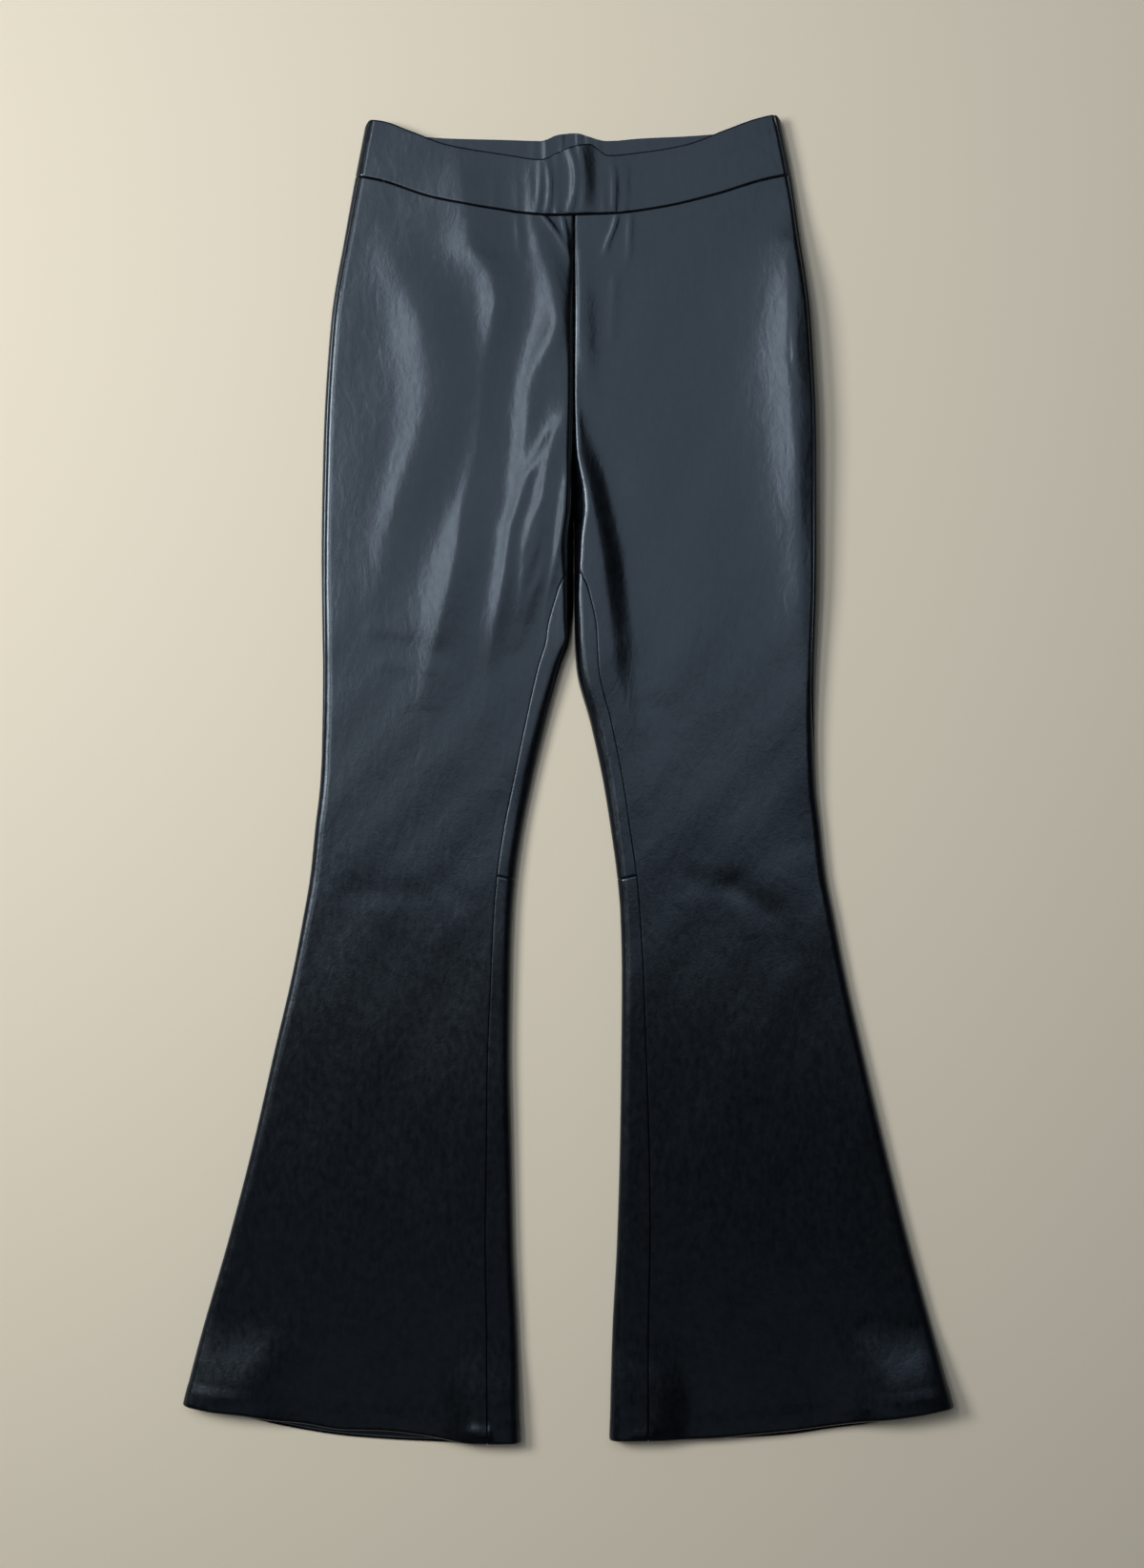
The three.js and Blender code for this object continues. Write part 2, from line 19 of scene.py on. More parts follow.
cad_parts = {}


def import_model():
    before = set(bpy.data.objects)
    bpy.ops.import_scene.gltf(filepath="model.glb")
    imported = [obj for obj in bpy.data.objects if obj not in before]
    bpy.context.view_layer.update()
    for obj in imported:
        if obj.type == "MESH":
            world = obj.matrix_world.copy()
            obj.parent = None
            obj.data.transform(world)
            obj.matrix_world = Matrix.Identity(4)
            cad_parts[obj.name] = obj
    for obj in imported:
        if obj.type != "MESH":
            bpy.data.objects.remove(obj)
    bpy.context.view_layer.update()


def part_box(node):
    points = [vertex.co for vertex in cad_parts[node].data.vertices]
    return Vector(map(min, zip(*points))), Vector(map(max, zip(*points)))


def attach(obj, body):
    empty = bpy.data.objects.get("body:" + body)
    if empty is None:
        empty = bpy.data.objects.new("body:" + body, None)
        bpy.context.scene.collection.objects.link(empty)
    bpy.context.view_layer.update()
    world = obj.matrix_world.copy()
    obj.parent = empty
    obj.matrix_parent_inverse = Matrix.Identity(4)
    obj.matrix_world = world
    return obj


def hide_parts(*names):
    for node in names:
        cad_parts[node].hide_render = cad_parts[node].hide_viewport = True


log = logging.getLogger("trousers")

MM = 0.001
PHOTO_WIDTH = 1200
PHOTO_HEIGHT = 1645
MM_PER_PIXEL = 0.766

LEATHER = 1.2
LEATHER_EDGE = 0.25
BAND_WALL = 2.2
BAND_WALL_EDGE = 0.6
BAND_PROUD = 0.6
HEM_DEPTH = 17.0
HEM_THICKER = 0.45
HEM_STEP_START = -2.5
HEM_STEP_END = 3.0
GROOVE_DEPTH = 0.4
GROOVE_HALF_WIDTH = 1.0
STITCH_SINK = 0.25
SEAM_GAP = 0.3
CENTRE_GAP = 0.08

WAIST_DROP = 62.0
WAIST_FADE = 125.0
CROTCH_DROP = 353.0
LIP_DROP = 335.0
LIP_HEIGHT = 2.0
CREVICE_ROUND = 1.6
CREVICE_SOFTNESS = 0.5
CREVICE_STEEP = 2.0
CREVICE_START = (225.0, 275.0)
CREVICE_END = (352.0, 380.0)
CENTRE_BLEND = 20.0
INSEAM_BLEND = 40.0
KNEE_DROP = 605.0
KNEE_DIP = 4.0
KNEE_DIP_REACH = 14.0
KNEE_FADE = 40.0
HEM_DROP = 1050.0
HEM_FADE = 960.0
LONGEST_HEM_DROP = 1061.0

OUTER_FOLD_RADIUS = 8.0
OUTER_UNDER_RADIUS = 6.0
FOLD_MIDDLE = 0.45

OUTER_CORNER_LIFT = {"right": 7.4, "left": 9.6}
OUTER_CORNER_INSET = 34.0
OUTER_CORNER_REACH = 52.0
OUTER_CORNER_RISE = 98.0
INNER_CORNER_LIFT = 4.6
INNER_CORNER_INSET = 24.0
INNER_CORNER_REACH = 34.0
INNER_CORNER_RISE = 78.0
CORNER_LEVEL = 14.0
CORNER_FADE = 0.1
HEM_EDGE_RADIUS = 2.4
HEM_EDGE_FALL = 2.0

PLACE_GAP = 0.002
BAND_PLACE_GAP = 0.0025
LEG_PASSES = 3
BAND_PASSES = 4
FINE_SHARE = 0.48
WRAP_SHARE = 0.22
BACK_COLUMNS = 26

Array = np.ndarray


class LegSection(NamedTuple):
    """How far the folds of each leg lie from the centre line at a drop, and the seams in from those folds."""

    drop: float
    right_outer: float
    left_outer: float
    right_inner: float
    left_inner: float
    right_side: float
    left_side: float
    right_inseam: float
    left_inseam: float


LEG_SECTIONS = (
    LegSection(0, 166, 165.5, 0, 0, 3, 4, 0, 0),
    LegSection(47, 175, 175, 0, 0, 3, 4, 0, 0),
    LegSection(90, 182.7, 181.5, 0, 0, 3, 3.5, 0, 0),
    LegSection(163, 194.6, 191.9, 0, 0, 3, 4.5, 0, 0),
    LegSection(263, 200.7, 196.9, 0, 0, 3.5, 5.8, 0, 0),
    LegSection(353, 202.2, 197.2, 0.15, 0.15, 3.2, 6.3, 0, 0),
    LegSection(365, 202.1, 197, 0.15, 0.15, 3, 6.2, 6, 5.5),
    LegSection(378, 202, 196.8, 0.15, 0.15, 2.8, 6, 12.5, 11.5),
    LegSection(414, 201.5, 195.3, 1.6, 0.5, 2.3, 5.3, 20, 18),
    LegSection(440, 201.1, 194.2, 9.6, 1.9, 1.8, 4.5, 19, 18),
    LegSection(485, 201.5, 193, 22.2, 13.4, 0.8, 1.6, 16.5, 17),
    LegSection(531, 203.4, 194.2, 33.3, 23.4, 0, 0, 14.8, 16),
    LegSection(569, 207.6, 198, 41, 29.5, 0, 0, 14.8, 15.6),
    LegSection(606, 211.4, 202.2, 46.3, 34.5, 0, 0, 15, 15.8),
    LegSection(638, 216.8, 208.4, 49, 37.2, 0, 0, 15, 16),
    LegSection(684, 225.6, 217.2, 50.6, 38.3, 0, 0, 15.6, 17.5),
    LegSection(745, 239.8, 230.9, 51.3, 37.9, 0, 0, 17.5, 20),
    LegSection(822, 257.4, 249, 49.8, 36.8, 0, 0, 20, 23.5),
    LegSection(899, 277.3, 268.1, 48.3, 34.5, 0, 0, 22.5, 26.5),
    LegSection(975, 299.1, 288.8, 44.8, 30.6, 0, 0, 25, 29),
    LegSection(1060, 320.2, 311.8, 42.1, 28.3, 0, 0, 27, 31),
)


class HeightSection(NamedTuple):
    """Heights of the top face over a leg, the crease at its inner edge, and how far that rounds over."""

    drop: float
    outer: float
    middle: float
    inner: float
    crease: float
    shoulder: float
    under: float


HEIGHTS = (
    HeightSection(0, 12.4, 13, 13.5, 13, 4, 2),
    HeightSection(90, 13.4, 13.8, 13.6, 12.9, 5, 2),
    HeightSection(209, 13.8, 14, 13.6, 12, 6, 2),
    HeightSection(263, 13.8, 14, 13.6, 10, 6, 2),
    HeightSection(295, 13.6, 13.9, 13.5, 6.5, 6, 2),
    HeightSection(353, 13.1, 13.4, 13.3, 2.6, 6, 2),
    HeightSection(414, 12.4, 12.8, 12.8, 2, 7, 2),
    HeightSection(446, 11.8, 12.3, 12.3, 3.4, 9, 3.2),
    HeightSection(500, 11.3, 11.6, 11.8, 4.8, 11, 5),
    HeightSection(606, 10.8, 10.4, 11.4, 5.2, 9, 6),
    HeightSection(745, 10.8, 9.8, 11.2, 5.2, 8, 6),
    HeightSection(1060, 11, 9.6, 11.4, 5.2, 8, 6),
)


class CreviceSection(NamedTuple):
    """How far out from the centre each leg drops into the crevice between the thighs, at a drop."""

    drop: float
    right: float
    left: float


CREVICE = (
    CreviceSection(255, 0, 0),
    CreviceSection(266, 0, 0.6),
    CreviceSection(277, 0, 2),
    CreviceSection(288, 0, 4),
    CreviceSection(300, 0.4, 6),
    CreviceSection(312, 1, 6.4),
    CreviceSection(323, 2.4, 5),
    CreviceSection(335, 4, 3.4),
    CreviceSection(353, 4.6, 2.4),
    CreviceSection(371, 4.6, 1.6),
    CreviceSection(395, 4, 0.6),
    CreviceSection(412, 2.4, 0),
    CreviceSection(430, 0, 0),
)


class BandEdge(NamedTuple):
    """Drops of the waistband's front and back top edges at an x."""

    x: float
    front: float
    back: float


BAND_EDGES = (
    BandEdge(-168, 7, 7),
    BandEdge(-163, 2.3, 5),
    BandEdge(-154, 3.1, 7),
    BandEdge(-130, 11.5, 11.5),
    BandEdge(-102, 21.9, 14),
    BandEdge(-52, 30.6, 15.3),
    BandEdge(-26, 34.2, 16.1),
    BandEdge(-13, 29.1, 11.4),
    BandEdge(1, 23.8, 10),
    BandEdge(13, 22.2, 13),
    BandEdge(21, 27.6, 15.4),
    BandEdge(27, 31, 16.1),
    BandEdge(54, 28.3, 14),
    BandEdge(89, 22.2, 12.4),
    BandEdge(123, 9.7, 9.7),
    BandEdge(147, 1.1, 6),
    BandEdge(161, -1.7, 4),
    BandEdge(168, 4, 4),
)


class WaistSeam(NamedTuple):
    """Drops of the seam under the waistband, in front and behind, at an x."""

    x: float
    front: float
    back: float


WAIST_SEAMS = (
    WaistSeam(-175, 46.7, 46.7),
    WaistSeam(-155, 50.6, 48),
    WaistSeam(-111, 64.8, 53),
    WaistSeam(-64, 73.5, 57.5),
    WaistSeam(-18, 78.8, 60),
    WaistSeam(12, 78, 60),
    WaistSeam(32, 77.2, 59),
    WaistSeam(71, 72, 56.5),
    WaistSeam(113, 62, 52),
    WaistSeam(150, 50.6, 47),
    WaistSeam(175, 45.2, 45.2),
)


class HemPoint(NamedTuple):
    """Drops of the hems at a share of the way from the outer fold to the inner fold."""

    share: float
    right_front: float
    right_back: float
    left_front: float
    left_back: float


HEM_LINE = (
    HemPoint(0, 1029.4, 1029.4, 1031, 1031),
    HemPoint(0.04, 1031.4, 1031, 1032.8, 1032.4),
    HemPoint(0.1, 1034.4, 1034.2, 1036, 1035.8),
    HemPoint(0.18, 1036.9, 1038, 1039.3, 1040),
    HemPoint(0.28, 1042, 1045.6, 1043, 1046),
    HemPoint(0.37, 1045.2, 1051, 1046.8, 1050),
    HemPoint(0.48, 1049.8, 1055.5, 1050.6, 1054.5),
    HemPoint(0.6, 1050.7, 1058.2, 1054, 1057),
    HemPoint(0.72, 1054.5, 1060, 1057, 1058),
    HemPoint(0.86, 1060, 1061, 1057.8, 1058.4),
    HemPoint(1, 1060, 1060, 1057.8, 1057.8),
)


class FoldRow(NamedTuple):
    """A fold's crest at a drop: its x and height, and the half widths of its flanks."""

    drop: float
    x: float
    height: float
    left: float
    right: float


@dataclass(frozen=True)
class Fold:
    """A soft fold that runs down a leg. A crispness under 2 gives it a sharper crest."""

    rows: tuple[FoldRow, ...]
    crispness: float = 2.0

    @classmethod
    def of(cls, *rows: tuple[float, float, float, float, float], crispness: float = 2.0) -> "Fold":
        """Makes a fold of rows given as drop, x, height and the half widths of the left and right flanks."""
        return cls(tuple(FoldRow(*row) for row in rows), crispness)

    def add_to(self, total: Array, x: Array, drop: Array) -> None:
        """Adds the fold's rise to a height.

        Args:
            total: The height at each point, which the fold raises, or lowers in a trough.
            x: X of each point.
            drop: Drop of each point.
        """
        inside = (drop > self.rows[0].drop) & (drop < self.rows[-1].drop)
        at_x, at_drop = x[inside], drop[inside]
        crest, height, left, right = (
            Curve.through(self.rows, "drop", name, hold=True)(at_drop) for name in ("x", "height", "left", "right")
        )
        away = np.abs(at_x - crest) / np.where(at_x < crest, left, right)
        total[inside] += height * np.exp(-(away**self.crispness))


FOLDS = (
    # Right thigh: broad fold down the outside
    Fold.of((66, -158, 0, 16, 30), (96, -148, 0.6, 18, 30), (120, -138, 1.3, 20, 32),
          (145, -127, 2.1, 22, 34), (170, -118, 2.8, 23, 34), (190, -114, 3, 24, 34),
          (212, -112, 3, 24, 34), (232, -115, 2.8, 22, 34), (256, -122, 2.3, 18, 34),
          (280, -131, 1.9, 14, 32), (299, -137, 1.6, 13, 30), (325, -145, 1, 12, 30),
          (380, -154, 0.4, 12, 28), (440, -160, 0, 12, 26)),
    # Right thigh: long fold from the front of the hip down to the outside of the knee
    Fold.of((20, -92, 0, 16, 22), (60, -88, 1.5, 18, 22), (84, -84, 2.2, 19, 24),
          (102, -82, 2.9, 20, 24), (117, -71, 3.3, 20, 24), (132, -64, 3.4, 18, 24),
          (148, -62, 3.2, 15, 22), (163, -64, 2.5, 12, 20), (179, -67, 1.6, 9, 18),
          (194, -70, 1, 8, 18), (215, -72, 0.8, 8, 18), (250, -75, 0.8, 8, 18),
          (290, -83, 1, 9, 20), (320, -90, 1.8, 11, 22), (339, -92, 2.6, 14, 24),
          (362, -96, 3.1, 17, 24), (385, -101, 2.9, 17, 24), (408, -107, 2.2, 16, 24),
          (431, -113, 1.3, 14, 22), (475, -120, 0, 14, 20), crispness=1.5),
    # Right thigh: fold beside the centre front
    Fold.of((30, -34, 0, 7, 16), (64, -33, 0.8, 7, 16), (84, -31, 1.2, 8, 16),
          (100, -27, 1.7, 10, 16), (118, -21, 2.3, 13, 15), (133, -17, 2.8, 15, 13),
          (148, -14.5, 3.1, 17, 12), (162, -13, 3.3, 17, 11), (179, -18, 3, 16, 14),
          (194, -26, 2.4, 13, 16), (209, -33, 2, 10, 16), (228, -36, 2, 10, 14),
          (247, -37.5, 1.9, 9, 12), (270, -41, 1.4, 8, 12), (300, -46, 0, 7, 10), crispness=1.8),
    # Right thigh: swell that leans on the centre seam above the crotch
    Fold.of((110, -4, 0, 20, 6), (150, -4, 1.8, 22, 6), (185, -4, 3, 24, 6),
          (220, -4, 3.8, 26, 6), (250, -4, 3.8, 27, 6), (275, -6, 3, 26, 6),
          (305, -9, 1.6, 24, 7), (350, -14, 0, 20, 8)),
    # Right thigh: drag line from the crotch, the longest of a fan
    Fold.of((222, -2, 0, 8, 9), (238, -7, 0.5, 9, 10), (252, -15, 1.2, 10, 12),
          (266, -23.5, 1.8, 10, 14), (279, -31, 2.1, 9, 13), (290, -38, 2, 9, 13),
          (315, -46, 2.2, 8, 11), (329, -50.5, 2.4, 8, 12), (350, -53, 2.5, 8.5, 12),
          (372, -56, 2.4, 9, 12), (390, -59, 2, 9, 12), (412, -63, 1.3, 9, 12),
          (445, -68, 0.5, 10, 12), (490, -74, 0, 10, 12), crispness=1.6),
    Fold.of((252, -15, 0, 5, 8), (270, -19, 0.9, 6, 9), (290, -23, 1.4, 6, 10),
          (308, -26.5, 1.7, 6.5, 11), (322, -32.5, 1.8, 6.5, 12), (336, -36.3, 1.8, 6.5, 12),
          (355, -39.7, 1.5, 6.5, 12), (372, -41, 1.1, 6.5, 12), (430, -49, 0, 7, 12), crispness=1.6),
    Fold.of((315, -26, 0, 4, 7), (333, -29, 0.7, 4.5, 8), (348, -32, 0.9, 5, 8),
          (362, -36, 0.8, 5, 8), (405, -43, 0, 5, 8), crispness=1.7),
    Fold.of((335, -21, 0, 4, 7), (355, -24, 0.7, 4, 8), (370, -28, 0.9, 4.5, 8),
          (385, -34, 0.8, 5, 8), (425, -43, 0, 5, 8), crispness=1.7),
    Fold.of((270, -3, 0, 3, 3), (287, -4.4, 0.9, 3, 3), (300, -6, 1.3, 3, 3.4),
          (318, -8.2, 1.4, 3, 3.6), (333, -10.4, 1.3, 3, 4), (350, -13.5, 1, 3.2, 4),
          (365, -16.5, 0.7, 3.4, 4), (385, -21, 0.35, 3.6, 4), (410, -25, 0, 4, 4), crispness=1.6),
    # Left thigh: long rise towards the outside, and the narrow crease on it
    Fold.of((50, 176, 0, 18, 60), (80, 175, 2.4, 22, 60), (106, 174, 6, 25, 60),
          (135, 174, 8.8, 27, 60), (190, 175, 10, 28, 60), (240, 176.5, 9.8, 28, 60),
          (283, 178, 8.8, 27, 60), (320, 179.5, 7.6, 26, 60), (380, 181, 6, 25, 60),
          (450, 183, 3.6, 26, 60), (580, 190, 0, 24, 60), crispness=1.3),
    Fold.of((104, 173, 0, 2.4, 2.4), (122, 173.3, -0.25, 2.4, 2.4), (164, 173.3, -0.3, 2.4, 2.4),
          (186, 172, -0.3, 2.4, 2.4), (221, 176.4, -0.25, 2.4, 2.4), (262, 177.2, 0, 2.4, 2.4), crispness=1.7),
    # Left thigh: low fold beside the centre front, and the ridge on the inside of the thigh
    Fold.of((98, 6, 0, 6, 9), (125, 7, 0.9, 6, 9), (158, 7.5, 1.5, 6, 9),
          (190, 9, 1.5, 6, 9), (215, 10, 0.8, 7, 10), (242, 11, 0, 7, 10)),
    Fold.of((222, -3, 0, 20, 10), (245, -1, 1.6, 24, 11), (263, 1.5, 2.7, 30, 12),
          (278, 4.5, 3.5, 36, 12.5), (293, 8.5, 3.9, 42, 13), (322, 14.5, 4.2, 46, 13.5),
          (350, 19.5, 4.2, 48, 14), (390, 24, 3.8, 48, 15), (424, 27, 3, 46, 16),
          (454, 30, 2.1, 44, 17), (490, 34, 1.2, 40, 18), (560, 42, 0, 36, 19)),
    Fold.of((250, 18, 0, 12, 22), (293, 29, -0.7, 12, 22), (350, 40, -0.8, 13, 24),
          (400, 46, -0.6, 14, 26), (460, 54, 0, 14, 26)),
    # Left thigh: faint long folds
    Fold.of((250, 118, 0, 22, 26), (320, 112, 0.7, 22, 26), (400, 96, 0.8, 22, 26),
          (500, 84, 0, 22, 26)),
    Fold.of((90, 60, 0, 24, 30), (150, 66, 0.6, 24, 30), (230, 60, 0, 24, 30)),
    # Short creases below the gathers of the waistband
    Fold.of((76, -27, 0.2, 2.5, 2.2), (84, -20.5, 0.9, 2.5, 2.4), (100, -9.5, 0.8, 2.5, 2.4),
          (112, -5, 0, 3, 3), crispness=1.5),
    Fold.of((77, -10, 0.5, 2.2, 2), (88, -7.4, 0.8, 2.2, 2), (107, -4.6, 0.6, 2.2, 2),
          (118, -4, 0, 3, 3), crispness=1.5),
    Fold.of((76, 35, 0.4, 2.2, 2), (87, 32.5, 0.8, 2.2, 2), (103, 26.5, 0.7, 2.4, 2.2),
          (114, 24, 0, 3, 3), crispness=1.5),
    Fold.of((76, 46, 0.3, 3, 2.6), (88, 45, 0.6, 3, 2.6), (107, 44, 0.5, 3, 3),
          (124, 42, 0, 3, 3), crispness=1.5),
    Fold.of((122, 33, 0, 4, 4), (135, 32.5, 0.5, 4, 4), (160, 31, 0.45, 4, 4),
          (185, 30, 0, 4, 4), crispness=1.7),
    Fold.of((77, -46, 0.3, 3, 3), (92, -44, 0.5, 3.5, 3.5), (118, -42, 0, 4, 4)),
    # Puckers where the inside leg seams cross the hems
    Fold.of((1041, -81, 0, 1.6, 1.6), (1048, -81, 0.5, 1.6, 1.6), (1056, -80, 0, 1.6, 1.6)),
    Fold.of((1041, -76, 0, 1.4, 1.4), (1048, -76, 0.5, 1.4, 1.4), (1056, -76, 0, 1.4, 1.4)),
    Fold.of((1041, -68, 0, 1.6, 1.6), (1048, -68, 0.4, 1.6, 1.6), (1056, -68, 0, 1.6, 1.6)),
    Fold.of((1043, 51, 0, 1.6, 1.6), (1049, 51, 0.35, 1.6, 1.6), (1056, 51, 0, 1.6, 1.6)),
    Fold.of((1043, 57, 0, 1.6, 1.6), (1049, 57, 0.35, 1.6, 1.6), (1056, 57, 0, 1.6, 1.6)),
)


class CrossFold(NamedTuple):
    """A soft fold across a leg, between two points, as a ridge or a trough."""

    x0: float
    drop0: float
    x1: float
    drop1: float
    half_width: float
    height: float


CROSS_FOLDS = (
    CrossFold(-150, 420, -112, 428, 10, -0.3),
    CrossFold(-162, 408, -134, 412, 6, 0.2),
    CrossFold(-152, 436, -118, 441, 6, 0.2),
    CrossFold(-176, 619, -128, 621, 9, -0.26),
    CrossFold(-106, 612, -92, 626, 9, -0.22),
    CrossFold(96, 610, 128, 615, 9, -0.3),
    CrossFold(128, 615, 156, 634, 9.5, -0.34),
    CrossFold(156, 634, 170, 668, 13, -0.28),
    CrossFold(-82, 1051, -68, 1051.5, 3.6, 1.2),
    CrossFold(49, 1051.5, 62, 1051.5, 3.6, 0.9),
    CrossFold(44, 440, 60, 470, 12, -0.4),
)


class Gather(NamedTuple):
    """A gather of the waistband: its x and its rise at the top edge, halfway and at the seam, and its flanks."""

    top_x: float
    middle_x: float
    seam_x: float
    top: float
    middle: float
    seam: float
    left: float
    right: float


FRONT_GATHERS = (
    Gather(-64, -64, -63, 0, 0.1, 0.4, 3, 3),
    Gather(-46, -46, -45, 0, 0.15, 0.3, 4, 4),
    Gather(-34, -34, -35, 0, 0.1, 0.35, 2, 2),
    Gather(-27, -26.5, -30, 0.2, 0.8, 0.7, 2.4, 2),
    Gather(-23, -19, -22, 0.4, 1, 0.8, 2.6, 2.2),
    Gather(-14, -13, -13.5, 0.2, 0.3, 0.8, 2.2, 2),
    Gather(-4, 1.5, -4.5, 0.8, 1.3, 0.6, 3.2, 2.6),
    Gather(4, 7.5, 6, 1.1, 1.2, 0.4, 3.2, 7.5),
    Gather(18, 19, 17, -0.5, -0.6, -0.3, 8, 9),
    Gather(22, 23, 24.5, 0, 0.2, 0.6, 2, 2),
    Gather(30, 32.5, 31, 0.1, 0.7, 0.7, 2.8, 2.6),
    Gather(39, 41, 40, 0, 0.3, 0.4, 3, 3),
)
BACK_GATHERS = (
    Gather(-31, -32, -33, 0.3, 0.3, 0.3, 3, 3),
    Gather(-22, -21, -20, 1.2, 1, 0.6, 2.4, 2.2),
    Gather(-16, -15.5, -14.5, 0.9, 0.7, 0.5, 2, 1.8),
    Gather(-10, -9, -9, 1.4, 1.1, 0.6, 2.4, 1.8),
    Gather(-3, -3.5, -3.5, 1, 0.8, 0.5, 2.2, 2),
    Gather(4, 3, 2, 1.3, 1, 0.6, 2.6, 2.2),
    Gather(12, 11, 9, 0.8, 0.8, 0.5, 2.4, 2.4),
    Gather(19, 18, 17, 0.6, 0.6, 0.4, 2.8, 2.8),
    Gather(29, 28, 27, 0.3, 0.3, 0.3, 3, 3),
)
GATHER_CRISPNESS = 1.7
BULGE_X = -2.0
BULGE_HALF_WIDTH = 34.0
BULGE_HEIGHT = 1.8


@dataclass(frozen=True)
class Curve:
    """Smooth curve through points that doesn't overshoot them."""

    at: Array
    value: Array
    hold: bool = False

    @classmethod
    def through(cls, rows: Sequence[tuple], along: str, column: str, hold: bool = False) -> "Curve":
        """Makes the curve of one column of a table.

        Args:
            rows: The table.
            along: Column that the curve runs along.
            column: Column that the curve gives.
            hold: Whether the curve stays level past its ends instead of going on straight.

        Returns:
            The curve.
        """
        at = np.array([getattr(row, along) for row in rows], dtype=float)
        value = np.array([getattr(row, column) for row in rows], dtype=float)
        return cls(at, value, hold)

    def __call__(self, x: Array) -> Array:
        """Value of the curve at each x."""
        at, value = self.at, self.value
        secant = np.diff(value) / np.diff(at)
        before = np.concatenate([secant[:1], secant])
        after = np.concatenate([secant, secant[-1:]])
        total = before + after
        safe = np.where(total == 0, 1.0, total)
        slope = np.where(before * after <= 0, 0.0, 2 * before * after / safe)
        x = np.asarray(x, dtype=float)
        inside = np.clip(x, at[0], at[-1])
        i = np.clip(np.searchsorted(at, inside, side="left") - 1, 0, len(at) - 2)
        step = at[i + 1] - at[i]
        t = (inside - at[i]) / step
        rise = (1 - t) ** 2 * t * slope[i] - t**2 * (1 - t) * slope[i + 1]
        smooth = value[i] + (value[i + 1] - value[i]) * t**2 * (3 - 2 * t) + rise * step
        if self.hold:
            return smooth
        return smooth + (x - inside) * np.where(x < inside, slope[0], slope[-1])


def smoothstep(x: Array, low: float, high: float) -> Array:
    """Soft step from 0 at low to 1 at high."""
    t = np.clip((x - low) / (high - low), 0.0, 1.0)
    return t * t * (3 - 2 * t)


def quarter_round(distance: Array, radius: Array) -> Array:
    """Height of a quarter round, from 0 at its edge to 1 at the radius."""
    short = 1 - np.clip(distance / radius, 0.0, 1.0)
    return np.sqrt(1 - short**2)


def soft_minimum(value: Array, softness: float) -> Array:
    """The smaller of a value and 1, with the corner between them rounded by the softness."""
    near = np.maximum(softness - np.abs(value - 1.0), 0.0) / softness
    return np.minimum(value, 1.0) - near**2 * softness / 4


def bell(distance: Array, half_width: Array) -> Array:
    """Bell shape, 1 in the middle and about a third at the half width."""
    return np.exp(-((distance / half_width) ** 2))


def ring_share(place: Array) -> Array:
    """Share of the width at a place on the ring, closest packed beside the folds."""
    return (1 - np.cos(np.pi * place)) / 2


def ring_place(distance: Array, width: Array) -> Array:
    """Place on the ring of a point that is a distance in from the outer fold."""
    return np.arccos(1 - 2 * distance / width) / np.pi


def wrap(place: Array) -> tuple[Array, Array]:
    """Splits a place on a ring.

    Args:
        place: Places, which may run past the ends of 0 to 2.

    Returns:
        The share of the width at each place, and whether it lies on top.
    """
    turn = np.mod(place, 2.0)
    on_top = turn <= 1
    return ring_share(np.where(on_top, turn, 2 - turn)), on_top


def cross_fold_height(x: Array, drop: Array) -> Array:
    """How much the folds across the legs raise the cloth at each point."""
    total = np.zeros_like(x)
    for fold in CROSS_FOLDS:
        run_x = fold.x1 - fold.x0
        run_drop = fold.drop1 - fold.drop0
        along = ((x - fold.x0) * run_x + (drop - fold.drop0) * run_drop) / (run_x**2 + run_drop**2)
        t = np.clip(along, 0.0, 1.0)
        away = np.hypot(x - fold.x0 - run_x * t, drop - fold.drop0 - run_drop * t)
        total += fold.height * bell(away, fold.half_width)
    return total


HEIGHT = {name: Curve.through(HEIGHTS, "drop", name) for name in HeightSection._fields[1:]}


def lie_height(share: Array, drop: Array) -> Array:
    """Height of a leg's top face before its folds, at a share of the way in from the outer fold."""
    return (
        HEIGHT["outer"](drop) * (1 - share) * (1 - 2 * share)
        + HEIGHT["middle"](drop) * 4 * share * (1 - share)
        + HEIGHT["inner"](drop) * share * (2 * share - 1)
    )


def unevenness(x: Array, drop: Array) -> Array:
    """Slight long waves that no pressed cloth is free of."""
    return (
        0.16 * np.sin(x / 17.0 + 1.3 * np.sin(drop / 61.0))
        + 0.14 * np.sin(drop / 23.0 + 1.7 * np.sin(x / 47.0) + 0.6)
        + 0.08 * np.sin((x + 0.7 * drop) / 9.5 + 2.1 * np.sin(drop / 83.0))
    )


def top_height(share: Array, x: Array, drop: Array) -> Array:
    """Height of the top face away from its edges: the lie of the cloth, its folds and its unevenness."""
    total = lie_height(share, drop) + cross_fold_height(x, drop) + unevenness(x, drop)
    for fold in FOLDS:
        fold.add_to(total, x, drop)
    return total


class Side(Enum):
    """The wearer's right and left, with the sign of X."""

    RIGHT = -1
    LEFT = 1

    @property
    def word(self) -> str:
        """The side's name in the tables and the pieces."""
        return self.name.lower()


class Panel(Enum):
    """Whether a piece is cut for the front or the back."""

    FRONT = "front"
    BACK = "back"


